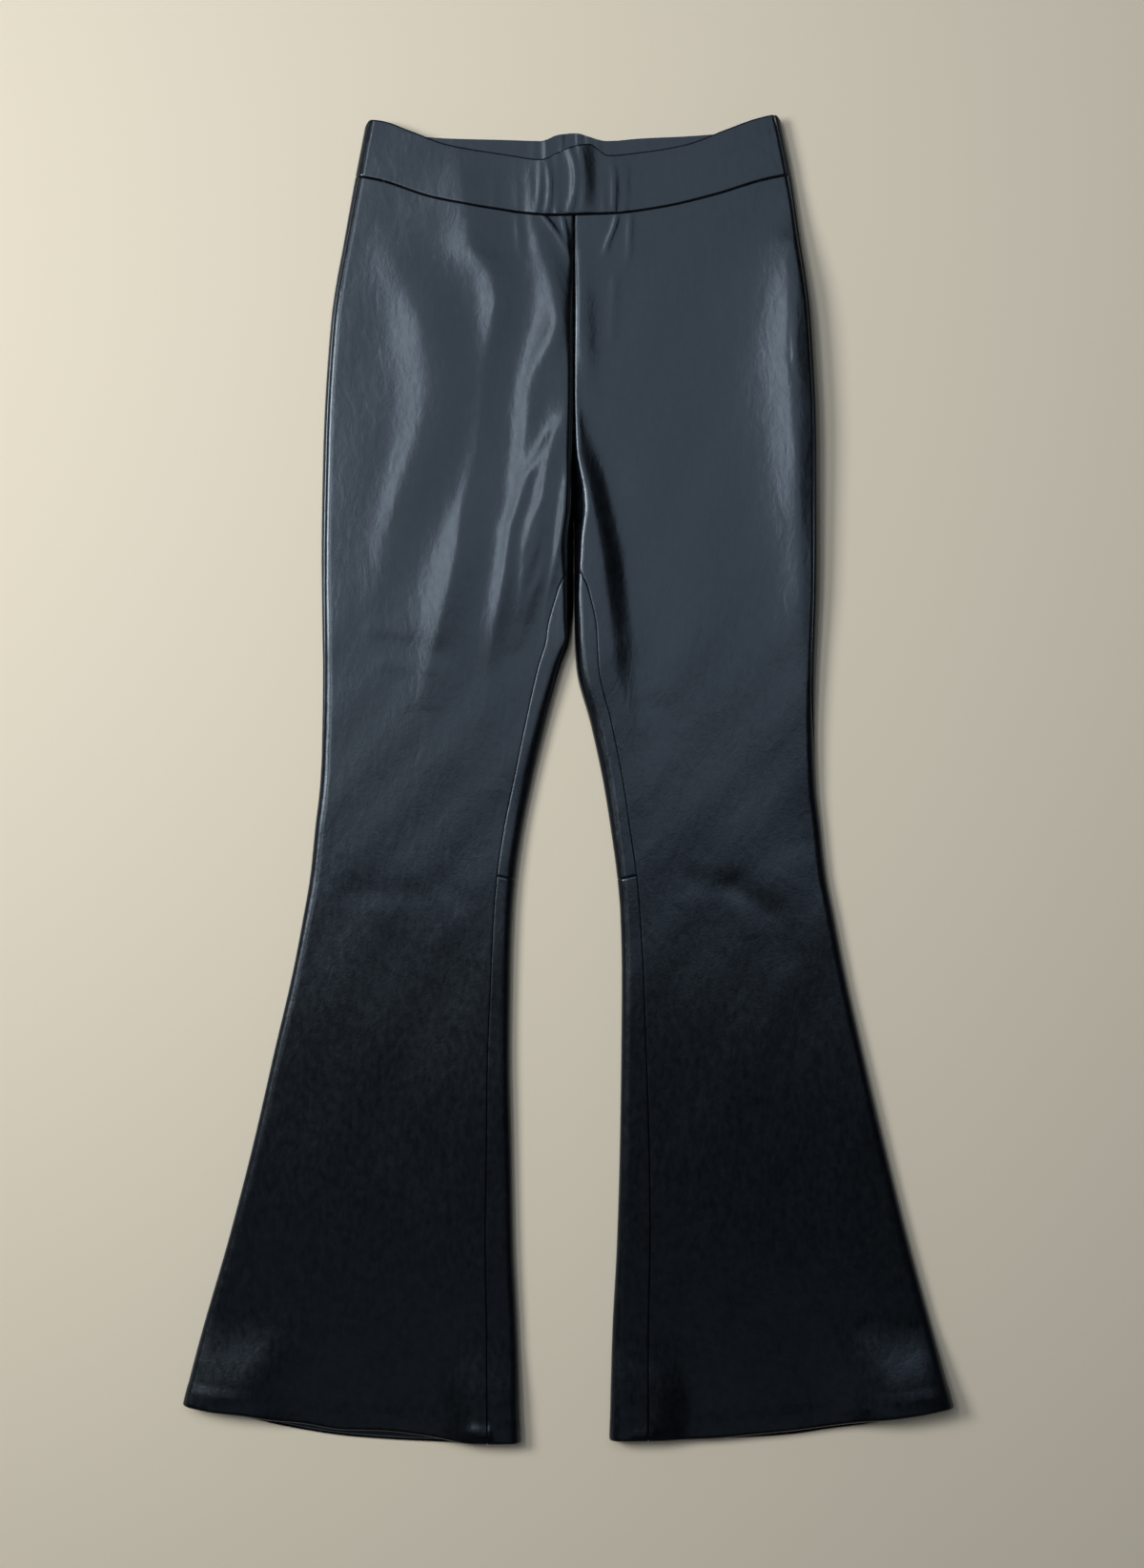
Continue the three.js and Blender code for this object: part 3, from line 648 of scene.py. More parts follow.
@dataclass
class LegForm:
    """Form of one leg, laid flat: its folds, its seams and its two faces."""

    side: Side
    outer: Curve = field(init=False)
    inner: Curve = field(init=False)
    side_place: Curve = field(init=False)
    inseam_place: Curve = field(init=False)
    crevice: Curve = field(init=False)
    hem: dict[Panel, Curve] = field(init=False)

    def __post_init__(self) -> None:
        """Makes the leg's curves from the tables."""
        word = self.side.word
        self.outer = Curve.through(LEG_SECTIONS, "drop", f"{word}_outer")
        self.inner = Curve.through(LEG_SECTIONS, "drop", f"{word}_inner")
        width = self.outer.value - self.inner.value
        side = Curve.through(LEG_SECTIONS, "drop", f"{word}_side").value
        inseam = Curve.through(LEG_SECTIONS, "drop", f"{word}_inseam").value
        self.side_place = Curve(self.outer.at, ring_place(side, width))
        self.inseam_place = Curve(self.outer.at, 1 - ring_place(inseam, width))
        self.crevice = Curve.through(CREVICE, "drop", word, hold=True)
        self.hem = {
            Panel.FRONT: Curve.through(HEM_LINE, "share", f"{word}_front"),
            Panel.BACK: Curve.through(HEM_LINE, "share", f"{word}_back"),
        }

    def corner_lift(self, across: Array, drop: Array) -> Array:
        """How far the corners of the hem stand off the surface."""
        level = HEM_DROP - CORNER_LEVEL
        outer = bell(self.outer(drop) - across - OUTER_CORNER_INSET, OUTER_CORNER_REACH)
        inner = bell(across - self.inner(drop) - INNER_CORNER_INSET, INNER_CORNER_REACH)
        outer_lift = OUTER_CORNER_LIFT[self.side.word] * smoothstep(outer, CORNER_FADE, 1.0)
        inner_lift = INNER_CORNER_LIFT * smoothstep(inner, CORNER_FADE, 1.0)
        outer_lift = outer_lift * smoothstep(drop, HEM_DROP - OUTER_CORNER_RISE, level)
        return outer_lift + inner_lift * smoothstep(drop, HEM_DROP - INNER_CORNER_RISE, level)

    def point(self, place: Array, drop: Array) -> Array:
        """Points on the leg's outer face.

        Args:
            place: Places on the ring.
            drop: Drops.

        Returns:
            The points in millimetres, with x, minus the drop and z last.
        """
        share, on_top = wrap(place)
        outer = self.outer(drop)
        inner = self.inner(drop)
        across = outer + (inner - outer) * share
        x = self.side.value * across
        from_outer = outer - across
        from_inner = across - inner
        fold_height = HEIGHT["outer"](drop) * FOLD_MIDDLE
        lip = LIP_HEIGHT * smoothstep(drop, LIP_DROP, CROTCH_DROP)
        crease = HEIGHT["crease"](drop)
        open_ring = drop <= CROTCH_DROP
        closed_edge = np.maximum(crease, lip)
        top_edge = np.where(open_ring, crease, closed_edge)
        top = top_height(share, x, drop)
        shoulder = HEIGHT["shoulder"](drop)
        floor_width = self.crevice(drop)
        steepness = smoothstep(floor_width, 0.0, CREVICE_STEEP)
        bank = soft_minimum(from_inner / (floor_width + CREVICE_ROUND), CREVICE_SOFTNESS)
        climb = (1 - steepness) * quarter_round(from_inner, shoulder) + steepness * bank
        rounded = top_edge + (top - top_edge) * climb
        over = fold_height + (rounded - fold_height) * quarter_round(from_outer, OUTER_FOLD_RADIUS)
        under_edge = np.where(open_ring, lip, closed_edge)
        under = under_edge * (1 - quarter_round(from_inner, HEIGHT["under"](drop)))
        under = under + fold_height * (1 - quarter_round(from_outer, OUTER_UNDER_RADIUS))
        z = np.where(on_top, over, under) + self.corner_lift(across, drop)
        return np.stack([x, -drop, z], axis=-1)

    def bent_drop(self, place: Array, nominal: Array) -> Array:
        """Drops of nominal rows, bent to follow the waist seam, the knee seam and the hem."""
        share, on_top = wrap(place)
        hem_line = HEM_DROP - HEM_DEPTH
        waist_fade = 1 - np.clip((nominal - WAIST_DROP) / (WAIST_FADE - WAIST_DROP), 0.0, 1.0)
        hem_fade = np.clip((nominal - HEM_FADE) / (hem_line - HEM_FADE), 0.0, 1.0)
        knee_fade = np.maximum(0.0, 1 - np.abs(nominal - KNEE_DROP) / KNEE_FADE)
        hem = np.where(on_top, self.hem[Panel.FRONT](share), self.hem[Panel.BACK](share)) - HEM_DROP
        drop = nominal
        for _ in range(LEG_PASSES):
            outer = self.outer(drop)
            inner = self.inner(drop)
            across = outer + (inner - outer) * share
            x = self.side.value * across
            seam = np.where(on_top, WAIST_SEAM_CURVE[Panel.FRONT](x), WAIST_SEAM_CURVE[Panel.BACK](x))
            dip = KNEE_DIP * bell(across - inner, KNEE_DIP_REACH)
            drop = nominal + (seam - WAIST_DROP) * waist_fade + hem * hem_fade + dip * knee_fade
        return drop

    def seams(self, panel: Panel, drop: Array) -> tuple[Array, Array]:
        """Places on the ring of the seams at a panel's two long edges."""
        side = self.side_place(drop)
        width = self.outer(drop) - self.inner(drop)
        centre = 1 - ring_place(CENTRE_GAP / 2, width)
        inseam = np.where(drop <= CROTCH_DROP, centre, np.minimum(self.inseam_place(drop), centre))
        if panel is Panel.FRONT:
            return side, inseam
        lip_turn = smoothstep(drop, LIP_DROP, CROTCH_DROP)
        under_centre = 1 + (1 - centre) * (1 - lip_turn)
        return np.where(drop <= CROTCH_DROP, under_centre, inseam), 2 + side


WAIST_SEAM_CURVE = {
    Panel.FRONT: Curve.through(WAIST_SEAMS, "x", "front"),
    Panel.BACK: Curve.through(WAIST_SEAMS, "x", "back"),
}
BAND_EDGE_CURVE = {
    Panel.FRONT: Curve.through(BAND_EDGES, "x", "front"),
    Panel.BACK: Curve.through(BAND_EDGES, "x", "back"),
}


def gather_height(gathers: Sequence[Gather], x: Array, down: Array) -> Array:
    """How much gathers raise the waistband.

    Args:
        gathers: The gathers.
        x: X of each point.
        down: Share of the way from the top edge to the seam.

    Returns:
        The rise at each point.
    """
    top, middle, seam = (1 - down) * (1 - 2 * down), 4 * down * (1 - down), down * (2 * down - 1)
    total = np.zeros_like(x)
    for gather in gathers:
        centre = gather.top_x * top + gather.middle_x * middle + gather.seam_x * seam
        rise = gather.top * top + gather.middle * middle + gather.seam * seam
        away = np.abs(x - centre) / np.where(x < centre, gather.left, gather.right)
        total += rise * np.exp(-(away**GATHER_CRISPNESS))
    return total


@dataclass
class BandForm:
    """Form of the waistband: one flattened ring from the right outer fold to the left one and back."""

    right: LegForm
    left: LegForm
    right_seam: float = 3.0
    left_seam: float = 5.0

    def seams(self, panel: Panel, drop: Array) -> tuple[Array, Array]:
        """Places on the ring of the side seams at a panel's two ends."""
        width = self.right.outer(drop) + self.left.outer(drop)
        right = ring_place(self.right_seam, width)
        left = 1 - ring_place(self.left_seam, width)
        return (right, left) if panel is Panel.FRONT else (left, 2 + right)

    def point(self, place: Array, drop: Array, down: Array) -> Array:
        """Points on the waistband's outer face, at drops that are a share of the way down to its seam."""
        share, on_top = wrap(place)
        right = -self.right.outer(drop)
        left = self.left.outer(drop)
        x = right + (left - right) * share
        from_edge = np.minimum(x - right, left - x)
        fold_height = HEIGHT["outer"](drop) * FOLD_MIDDLE
        reach = np.where(x < 0, -right, left)
        bulge = BULGE_HEIGHT * bell(x - BULGE_X, BULGE_HALF_WIDTH)
        top = top_height(1 - np.abs(x) / reach, x, drop) + BAND_PROUD + bulge
        top = top + gather_height(FRONT_GATHERS, x, down)
        over = fold_height + (top - fold_height) * quarter_round(from_edge, OUTER_FOLD_RADIUS)
        ripple = gather_height(BACK_GATHERS, x, down)
        under = fold_height * (1 - quarter_round(from_edge, OUTER_UNDER_RADIUS)) + ripple
        return np.stack([x, -drop, np.where(on_top, over, under)], axis=-1)

    def drop_at(self, place: Array, down: Array) -> Array:
        """Drops of points that are a share of the way from the top edge to the waist seam."""
        share, on_top = wrap(place)
        drop = np.full_like(place, WAIST_DROP / 2)
        for _ in range(BAND_PASSES):
            right = -self.right.outer(drop)
            x = right + (self.left.outer(drop) - right) * share
            edge = np.where(on_top, BAND_EDGE_CURVE[Panel.FRONT](x), BAND_EDGE_CURVE[Panel.BACK](x))
            seam = np.where(on_top, WAIST_SEAM_CURVE[Panel.FRONT](x), WAIST_SEAM_CURVE[Panel.BACK](x))
            drop = edge + (seam - SEAM_GAP / 2 - edge) * down
        return drop


def surface_normals(point: Callable[[Array, Array], Array], place: Array, drop: Array) -> tuple[Array, Array]:
    """Unit normals of a surface, and its length for each unit of place.

    Args:
        point: The surface, by place and drop.
        place: Places, a column for each across the sheet.
        drop: Drops.

    Returns:
        The normals, and the speed round the ring.
    """
    turn = 0.0015
    fall = 0.4
    round_ring = (point(place + turn, drop) - point(place - turn, drop)) / (2 * turn)
    down = point(place, drop + fall) - point(place, drop - fall)
    normal = np.cross(round_ring, down)
    normal /= np.linalg.norm(normal, axis=-1, keepdims=True)
    return normal, np.linalg.norm(round_ring, axis=-1)


def clustered(count: int, first: float, last: float, growth: float = 1.3) -> Array:
    """Shares from 0 to 1 with short steps at the ends.

    Args:
        count: Number of steps.
        first: Share of an even step that the first step takes.
        last: The same for the last step.
        growth: How fast the steps grow to full length.

    Returns:
        The shares.
    """
    index = np.arange(count)
    rising = np.minimum(1.0, first * growth**index)
    falling = np.minimum(1.0, last * growth ** index[::-1])
    steps = np.minimum(rising, falling)
    return np.concatenate([[0.0], np.cumsum(steps) / steps.sum()])


def seam_roll(distance: Array, radius: Array, depth: Array) -> Array:
    """How far leather turns down towards a seam, from the depth at the seam to nothing at the radius."""
    return depth * (1 - np.clip(distance / radius, 0.0, 1.0)) ** 2


class SeamRoll(NamedTuple):
    """How wide and how deep leather rolls down into a seam."""

    radius: float
    depth: float

    def sink(self, distance: Array) -> Array:
        """How far the leather is rolled down at a distance from the seam."""
        return seam_roll(distance, self.radius, self.depth)


SIDE_ROLL = SeamRoll(2.0, 0.9)
CENTRE_ROLL = SeamRoll(2.4, 0.9)
INSEAM_ROLL = SeamRoll(1.6, 0.24)
CROSS_ROLL = SeamRoll(1.4, 0.4)
BAND_ROLL = SeamRoll(1.3, 0.6)
BAND_EDGE_ROLL = SeamRoll(1.0, 0.3)


@dataclass(frozen=True)
class Layout:
    """Where the garment's own millimetres lie in the frame."""

    centre_x: float
    waist_y: float

    @classmethod
    def from_frame(cls) -> "Layout":
        """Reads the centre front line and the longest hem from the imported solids."""
        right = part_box("front_right")
        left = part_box("front_left")
        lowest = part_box("back_lower_right")[0][1]
        return cls((right[1][0] + left[0][0]) / 2, lowest + LONGEST_HEM_DROP * MM)

    def to_frame(self, points: Array) -> Array:
        """Points in the frame's metres."""
        return points * MM + np.array([self.centre_x, self.waist_y, 0.0])


def sheet_mesh(name: str, points: Array, upward: bool) -> bpy.types.Object:
    """Makes a sheet of cloth from a grid whose points are given.

    Args:
        name: The piece's name.
        points: Its points in metres, a row of the grid for each first index.
        upward: Whether most of the sheet faces up.

    Returns:
        The sheet's object.
    """
    rows, columns = points.shape[:2]
    grid = bmesh.new()
    bmesh.ops.create_grid(grid, x_segments=columns - 1, y_segments=rows - 1, size=1.0)
    for vertex in grid.verts:
        column = round((vertex.co.x + 1) / 2 * (columns - 1))
        row = round((vertex.co.y + 1) / 2 * (rows - 1))
        vertex.co = Vector(points[row, column])
    grid.normal_update()
    facing = sum(face.normal.z * face.calc_area() for face in grid.faces)
    if (facing > 0) != upward:
        bmesh.ops.reverse_faces(grid, faces=grid.faces)
    for face in grid.faces:
        face.smooth = True
    mesh = bpy.data.meshes.new(name)
    grid.to_mesh(mesh)
    grid.free()
    piece = bpy.data.objects.new(name, mesh)
    bpy.context.scene.collection.objects.link(piece)
    return piece


def give_wall(piece: bpy.types.Object, thickness: float, edge: float) -> None:
    """Gives a sheet its thickness, inwards, and rounds the edges of its rim."""
    solid = piece.modifiers.new("Wall", "SOLIDIFY")
    solid.thickness = thickness * MM
    solid.offset = -1.0
    solid.use_rim = True
    bevel = piece.modifiers.new("Edges", "BEVEL")
    bevel.width = edge * MM
    bevel.segments = 2
    bevel.limit_method = "ANGLE"
    bevel.angle_limit = math.radians(55)
    bevel.harden_normals = False


class NodeTree:
    """Short calls for building a material's nodes."""

    def __init__(self, name: str) -> None:
        """Starts an empty material.

        Args:
            name: The material's name.
        """
        self.material = bpy.data.materials.new(name)
        self.material.use_nodes = True
        self.tree = self.material.node_tree
        self.tree.nodes.clear()

    def add(self, kind: str, **values: object) -> bpy.types.Node:
        """Adds a node.

        Args:
            kind: The node's type.
            **values: Its properties, or its sockets where no property has the name.

        Returns:
            The node.
        """
        node = self.tree.nodes.new(kind)
        for name, value in values.items():
            if hasattr(node, name):
                setattr(node, name, value)
            else:
                node.inputs[name.replace("_", " ").title()].default_value = value
        return node

    def link(self, source: bpy.types.NodeSocket, target: bpy.types.NodeSocket) -> None:
        """Joins two sockets."""
        self.tree.links.new(source, target)

    def noise(self, place: bpy.types.NodeSocket, size: float, detail: float,
              distortion: float = 0.0) -> bpy.types.Node:
        """Adds a noise pattern.

        Args:
            place: The coordinates.
            size: Size of the pattern's largest features, in metres.
            detail: How many finer layers it has.
            distortion: How much it is bent.

        Returns:
            The noise's node.
        """
        node = self.add("ShaderNodeTexNoise")
        node.inputs["Scale"].default_value = 1.0 / size
        node.inputs["Detail"].default_value = detail
        node.inputs["Distortion"].default_value = distortion
        self.link(place, node.inputs["Vector"])
        return node

    def bump(self, height: bpy.types.NodeSocket, depth: float) -> bpy.types.Node:
        """Adds a bump of a depth in metres from a height pattern."""
        node = self.add("ShaderNodeBump")
        node.inputs["Distance"].default_value = depth
        self.link(height, node.inputs["Height"])
        return node

    def remap(self, value: bpy.types.NodeSocket, low: float, high: float,
              first: float = 0.0, last: float = 1.0) -> bpy.types.NodeSocket:
        """Turns a value that runs from low to high into one that runs from first to last.

        Args:
            value: The value.
            low: Where it starts.
            high: Where it ends.
            first: What the start becomes.
            last: What the end becomes.

        Returns:
            The new value's socket.
        """
        node = self.add("ShaderNodeMapRange")
        for name, number in (("From Min", low), ("From Max", high), ("To Min", first), ("To Max", last)):
            node.inputs[name].default_value = number
        self.link(value, node.inputs["Value"])
        return node.outputs["Result"]

    def shader(self, roughness: float) -> bpy.types.Node:
        """Adds the surface's shader, joined to the material's output."""
        node = self.add("ShaderNodeBsdfPrincipled")
        node.inputs["Roughness"].default_value = roughness
        output = self.add("ShaderNodeOutputMaterial")
        self.link(node.outputs["BSDF"], output.inputs["Surface"])
        return node


@dataclass(frozen=True)
class LeatherFinish:
    """Coated leather: nearly black navy, with a soft bluish shine, a fine grain and a faint crinkle."""

    name: str = "navy_leather"
    dark: tuple[float, float, float, float] = (0.0003, 0.0005, 0.0010, 1.0)
    light: tuple[float, float, float, float] = (0.0020, 0.0025, 0.0035, 1.0)
    shine: tuple[float, float, float, float] = (0.70, 0.85, 1.0, 1.0)
    roughness: float = 0.245
    roughness_spread: float = 0.06
    blotch_size: float = 0.006
    grain_size: float = 0.0020
    grain_depth: float = 0.000030
    crinkle_size: float = 0.0038
    crinkle_depth: float = 0.00005
    crinkle_stretch: float = 0.45
    mottle_size: float = 0.0105
    mottle_depth: float = 0.00022
    patch_size: float = 0.045

    def build(self) -> bpy.types.Material:
        """Makes the material."""
        nodes = NodeTree(self.name)
        place = nodes.add("ShaderNodeTexCoord")
        shader = nodes.shader(self.roughness)
        shader.inputs["IOR"].default_value = 1.5
        shader.inputs["Specular Tint"].default_value = self.shine

        blotch = nodes.noise(place.outputs["Object"], self.blotch_size, 6.0)
        tone = nodes.add("ShaderNodeMix", data_type="RGBA")
        tone.inputs["A"].default_value = self.dark
        tone.inputs["B"].default_value = self.light
        nodes.link(nodes.remap(blotch.outputs["Fac"], 0.34, 0.66), tone.inputs["Factor"])
        nodes.link(tone.outputs["Result"], shader.inputs["Base Color"])

        drawn = nodes.add("ShaderNodeMapping")
        drawn.inputs["Scale"].default_value = (1.0, self.crinkle_stretch, 1.0)
        nodes.link(place.outputs["Object"], drawn.inputs["Vector"])
        crinkle = nodes.noise(drawn.outputs["Vector"], self.crinkle_size, 2.0)
        smoothest = self.roughness - self.roughness_spread / 2
        gloss = nodes.remap(crinkle.outputs["Fac"], 0.3, 0.7, smoothest, smoothest + self.roughness_spread)
        nodes.link(gloss, shader.inputs["Roughness"])

        patch = nodes.noise(place.outputs["Object"], self.patch_size, 2.0)
        creased = nodes.add("ShaderNodeMath", operation="MULTIPLY")
        nodes.link(crinkle.outputs["Fac"], creased.inputs[0])
        nodes.link(nodes.remap(patch.outputs["Fac"], 0.42, 0.62, 0.25), creased.inputs[1])

        grain = nodes.add("ShaderNodeTexVoronoi", feature="SMOOTH_F1")
        grain.inputs["Scale"].default_value = 1.0 / self.grain_size
        nodes.link(place.outputs["Object"], grain.inputs["Vector"])
        fine = nodes.bump(grain.outputs["Distance"], self.grain_depth)
        coarse = nodes.bump(creased.outputs["Value"], self.crinkle_depth)
        nodes.link(fine.outputs["Normal"], coarse.inputs["Normal"])
        mottle = nodes.noise(drawn.outputs["Vector"], self.mottle_size, 3.0, 0.6)
        broad = nodes.bump(mottle.outputs["Fac"], self.mottle_depth)
        nodes.link(coarse.outputs["Normal"], broad.inputs["Normal"])
        nodes.link(broad.outputs["Normal"], shader.inputs["Normal"])
        return nodes.material


@dataclass(frozen=True)
class ThreadFinish:
    """Matt twisted sewing thread in the leather's colour."""

    name: str = "navy_thread"
    colour: tuple[float, float, float, float] = (0.006, 0.008, 0.011, 1.0)
    roughness: float = 0.7
    twist_size: float = 1 / 3000
    twist_depth: float = 0.0001

    def build(self) -> bpy.types.Material:
        """Makes the material."""
        nodes = NodeTree(self.name)
        place = nodes.add("ShaderNodeTexCoord")
        twist = nodes.noise(place.outputs["Object"], self.twist_size, 2.0)
        shader = nodes.shader(self.roughness)
        shader.inputs["Base Color"].default_value = self.colour
        nodes.link(nodes.bump(twist.outputs["Fac"], self.twist_depth).outputs["Normal"], shader.inputs["Normal"])
        return nodes.material


@dataclass(frozen=True)
class FloorFinish:
    """Plain pale matt surface."""

    name: str = "pale_floor"
    colour: tuple[float, float, float, float] = (0.62, 0.565, 0.455, 1.0)
    roughness: float = 0.9
    gloss: float = 0.2

    def build(self) -> bpy.types.Material:
        """Makes the material."""
        nodes = NodeTree(self.name)
        shader = nodes.shader(self.roughness)
        shader.inputs["Base Color"].default_value = self.colour
        shader.inputs["Specular IOR Level"].default_value = self.gloss
        return nodes.material


@dataclass
class LegPiece:
    """One cut piece of a leg, between two nominal drops."""

    form: LegForm
    panel: Panel
    name: str
    top: float
    bottom: float
    columns: Array
    rows: Array
    flat: tuple[float, float]
    area: float
    rests_on: tuple[str, ...] = ()

    def places(self, drop: Array) -> Array:
        """Places on the ring of every point, a half seam gap clear of the seams."""
        start, end = self.form.seams(self.panel, drop)
        start = start + PLACE_GAP
        at_centre = PLACE_GAP * smoothstep(drop, CROTCH_DROP, CROTCH_DROP + CENTRE_BLEND)
        end = end - (PLACE_GAP if self.panel is Panel.BACK else at_centre)
        if self.panel is Panel.BACK:
            return start + (end - start) * self.columns[None, :]
        first, last = ring_share(start), ring_share(end)
        return np.arccos(1 - 2 * (first + (last - first) * self.columns[None, :])) / np.pi

    def settled(self, nominal: Array) -> tuple[Array, Array]:
        """Places and drops of rows at nominal drops, once the two agree with each other."""
        drop = nominal
        for _ in range(LEG_PASSES):
            place = self.places(drop)
            drop = self.form.bent_drop(place, nominal)
        return place, drop

    def points(self) -> Array:
        """The piece's points in millimetres."""
        rows = self.top + (self.bottom - self.top) * self.rows
        rows[0] += SEAM_GAP / 2
        nominal = np.repeat(rows[:, None], len(self.columns), axis=1)
        place, drop = self.settled(nominal)
        normal, speed = surface_normals(self.form.point, place, drop)
        normal = self.turned_out(normal)
        sink = self.seam_sink(nominal, place, drop, speed)
        if self.bottom == HEM_DROP:
            sink = sink + self.hem_relief(nominal, smoothstep(normal[..., 2], -0.2, 0.5))
        return self.form.point(place, drop) - normal * sink[..., None]

    def seam_sink(self, nominal: Array, place: Array, drop: Array, speed: Array) -> Array:
        """How far the leather rolls down into the seams round the piece.

        Args:
            nominal: Drops of the rows before they bend to the seams.
            place: Places on the ring.
            drop: Drops.
            speed: Millimetres for each unit of place.

        Returns:
            The depth at each point.
        """
        start, end = self.form.seams(self.panel, drop)
        from_side, from_centre = np.abs(place - start) * speed, np.abs(end - place) * speed
        if self.panel is Panel.BACK:
            from_side, from_centre = from_centre, from_side
        below_crotch = smoothstep(drop, LIP_DROP, CROTCH_DROP + INSEAM_BLEND)
        radius = CENTRE_ROLL.radius + (INSEAM_ROLL.radius - CENTRE_ROLL.radius) * below_crotch
        depth = CENTRE_ROLL.depth + (INSEAM_ROLL.depth - CENTRE_ROLL.depth) * below_crotch
        in_crevice = smoothstep(drop, *CREVICE_START) * (1 - smoothstep(drop, *CREVICE_END))
        sink = np.maximum(SIDE_ROLL.sink(from_side), seam_roll(from_centre, radius, depth * (1 - in_crevice)))
        sink = np.maximum(sink, CROSS_ROLL.sink(nominal - self.top))
        if self.bottom < HEM_DROP:
            sink = np.maximum(sink, CROSS_ROLL.sink(self.bottom - nominal))
        return sink

    def turned_out(self, normal: Array) -> Array:
        """The normals, turned to point out of the garment."""
        facing_up = normal[..., 2].sum() > 0
        return normal if facing_up == (self.panel is Panel.FRONT) else -normal

    @staticmethod
    def hem_relief(nominal: Array, upward: Array) -> Array:
        """Groove of the hem's stitching, the turned-up hem below it, which stands proud on top, and its edge."""
        from_line = nominal - (HEM_DROP - HEM_DEPTH)
        groove = GROOVE_DEPTH * bell(from_line, GROOVE_HALF_WIDTH)
        edge = HEM_EDGE_FALL * (1 - quarter_round(HEM_DROP - nominal, HEM_EDGE_RADIUS))
        return groove + edge - HEM_THICKER * smoothstep(from_line, HEM_STEP_START, HEM_STEP_END) * upward

    def line_above_hem(self) -> Array:
        """Points along the bottom of the hem's groove, clear of the seams at both ends."""
        place, drop = self.settled(np.full((1, len(self.columns)), HEM_DROP - HEM_DEPTH))
        normal, _speed = surface_normals(self.form.point, place, drop)
        return (self.form.point(place, drop) - self.turned_out(normal) * STITCH_SINK)[0, 2:-2]

    def build(self, layout: Layout, leather: bpy.types.Material, thread: bpy.types.Material) -> bpy.types.Object:
        """Args:
            layout: Where the garment lies in the frame.
            leather: The leather's material.
            thread: The thread's material.

        Returns:
            The piece.
        """
        points = layout.to_frame(self.points())
        piece = sheet_mesh(self.name, points, self.panel is Panel.FRONT)
        give_wall(piece, LEATHER, LEATHER_EDGE)
        sewn = [] if self.bottom < HEM_DROP else [HemStitches(self).build(layout, thread)]
        piece.data.materials.append(leather)
        node = self.name.removesuffix("_leather")
        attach(piece, "root")
        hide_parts(node)
        log.info("%s: %d points", self.name, len(piece.data.vertices))
        return piece


@dataclass
class HemStitches:
    """Row of machine stitches that holds one panel's turned-up hem."""

    leg: LegPiece
    pitch: float = 3.6
    length: float = 2.7
    thickness: float = 0.34

    def build(self, layout: Layout, thread: bpy.types.Material) -> bpy.types.Object:
        """Makes the row of stitches along the hem's groove.

        Args:
            layout: Where the garment lies in the frame.
            thread: The thread's material.

        Returns:
            The piece.
        """
        line = self.leg.line_above_hem()
        reach = np.concatenate([[0.0], np.cumsum(np.linalg.norm(np.diff(line, axis=0), axis=1))])
        count = int((reach[-1] - self.pitch) / self.pitch)
        middles = (reach[-1] - (count - 1) * self.pitch) / 2 + np.arange(count) * self.pitch
        stitches = bmesh.new()
        for middle in middles:
            here, ahead = (
                Vector([np.interp(at, reach, line[:, axis]) for axis in range(3)])
                for at in (middle, middle + self.length / 4)
            )
            turn = (ahead - here).to_track_quat("X", "Z").to_matrix().to_4x4()
            size = Matrix.Diagonal((self.length / 2, self.thickness / 2, self.thickness / 2, 1.0))
            place = Matrix.Translation(Vector(layout.to_frame(np.array(here)))) @ turn
            bmesh.ops.create_icosphere(stitches, subdivisions=1, radius=MM, matrix=place @ size)
        name = self.leg.name.removesuffix("_leather") + "_stitches"
        mesh = bpy.data.meshes.new(name)
        stitches.to_mesh(mesh)
        stitches.free()
        mesh.shade_smooth()
        mesh.materials.append(thread)
        piece = bpy.data.objects.new(name, mesh)
        bpy.context.scene.collection.objects.link(piece)
        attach(piece, "root")
        log.info("%s: %d stitches", name, count)
        return piece


@dataclass
class BandPiece:
    """Front or back of the waistband."""

    form: BandForm
    panel: Panel
    name: str
    columns: Array
    row_count: int
    flat: tuple[float, float]
    area: float
    rests_on: tuple[str, ...] = ()

    def points(self) -> Array:
        """The piece's points in millimetres."""
        rows = clustered(self.row_count, 0.3, 0.2)
        down = np.repeat(rows[:, None], len(self.columns), axis=1)
        drop = np.full_like(down, WAIST_DROP / 2)
        for _ in range(LEG_PASSES):
            start, end = self.form.seams(self.panel, drop)
            place = start + BAND_PLACE_GAP + (end - start - 2 * BAND_PLACE_GAP) * self.columns[None, :]
            drop = self.form.drop_at(place, down)

        def surface(at: Array, fall: Array) -> Array:
            """Points on the outer face at places and drops."""
            return self.form.point(at, fall, down)

        normal, speed = surface_normals(surface, place, drop)
        if (normal[..., 2].sum() > 0) != (self.panel is Panel.FRONT):
            normal = -normal
        start, end = self.form.seams(self.panel, drop)
        from_side = np.minimum(np.abs(place - start), np.abs(end - place)) * speed
        sink = np.maximum(BAND_ROLL.sink(from_side), BAND_ROLL.sink(drop[-1:, :] - drop))
        sink = np.maximum(sink, BAND_EDGE_ROLL.sink(drop - drop[:1, :]))
        return surface(place, drop) - normal * sink[..., None]

    def build(self, layout: Layout, leather: bpy.types.Material) -> bpy.types.Object:
        """Args:
            layout: Where the garment lies in the frame.
            leather: The leather's material.

        Returns:
            The piece.
        """
        points = layout.to_frame(self.points())
        piece = sheet_mesh(self.name, points, self.panel is Panel.FRONT)
        give_wall(piece, BAND_WALL, BAND_WALL_EDGE)
        piece.data.materials.append(leather)
        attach(piece, "root")
        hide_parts(self.name.removesuffix("_leather"))
        log.info("%s: %d points", self.name, len(piece.data.vertices))
        return piece


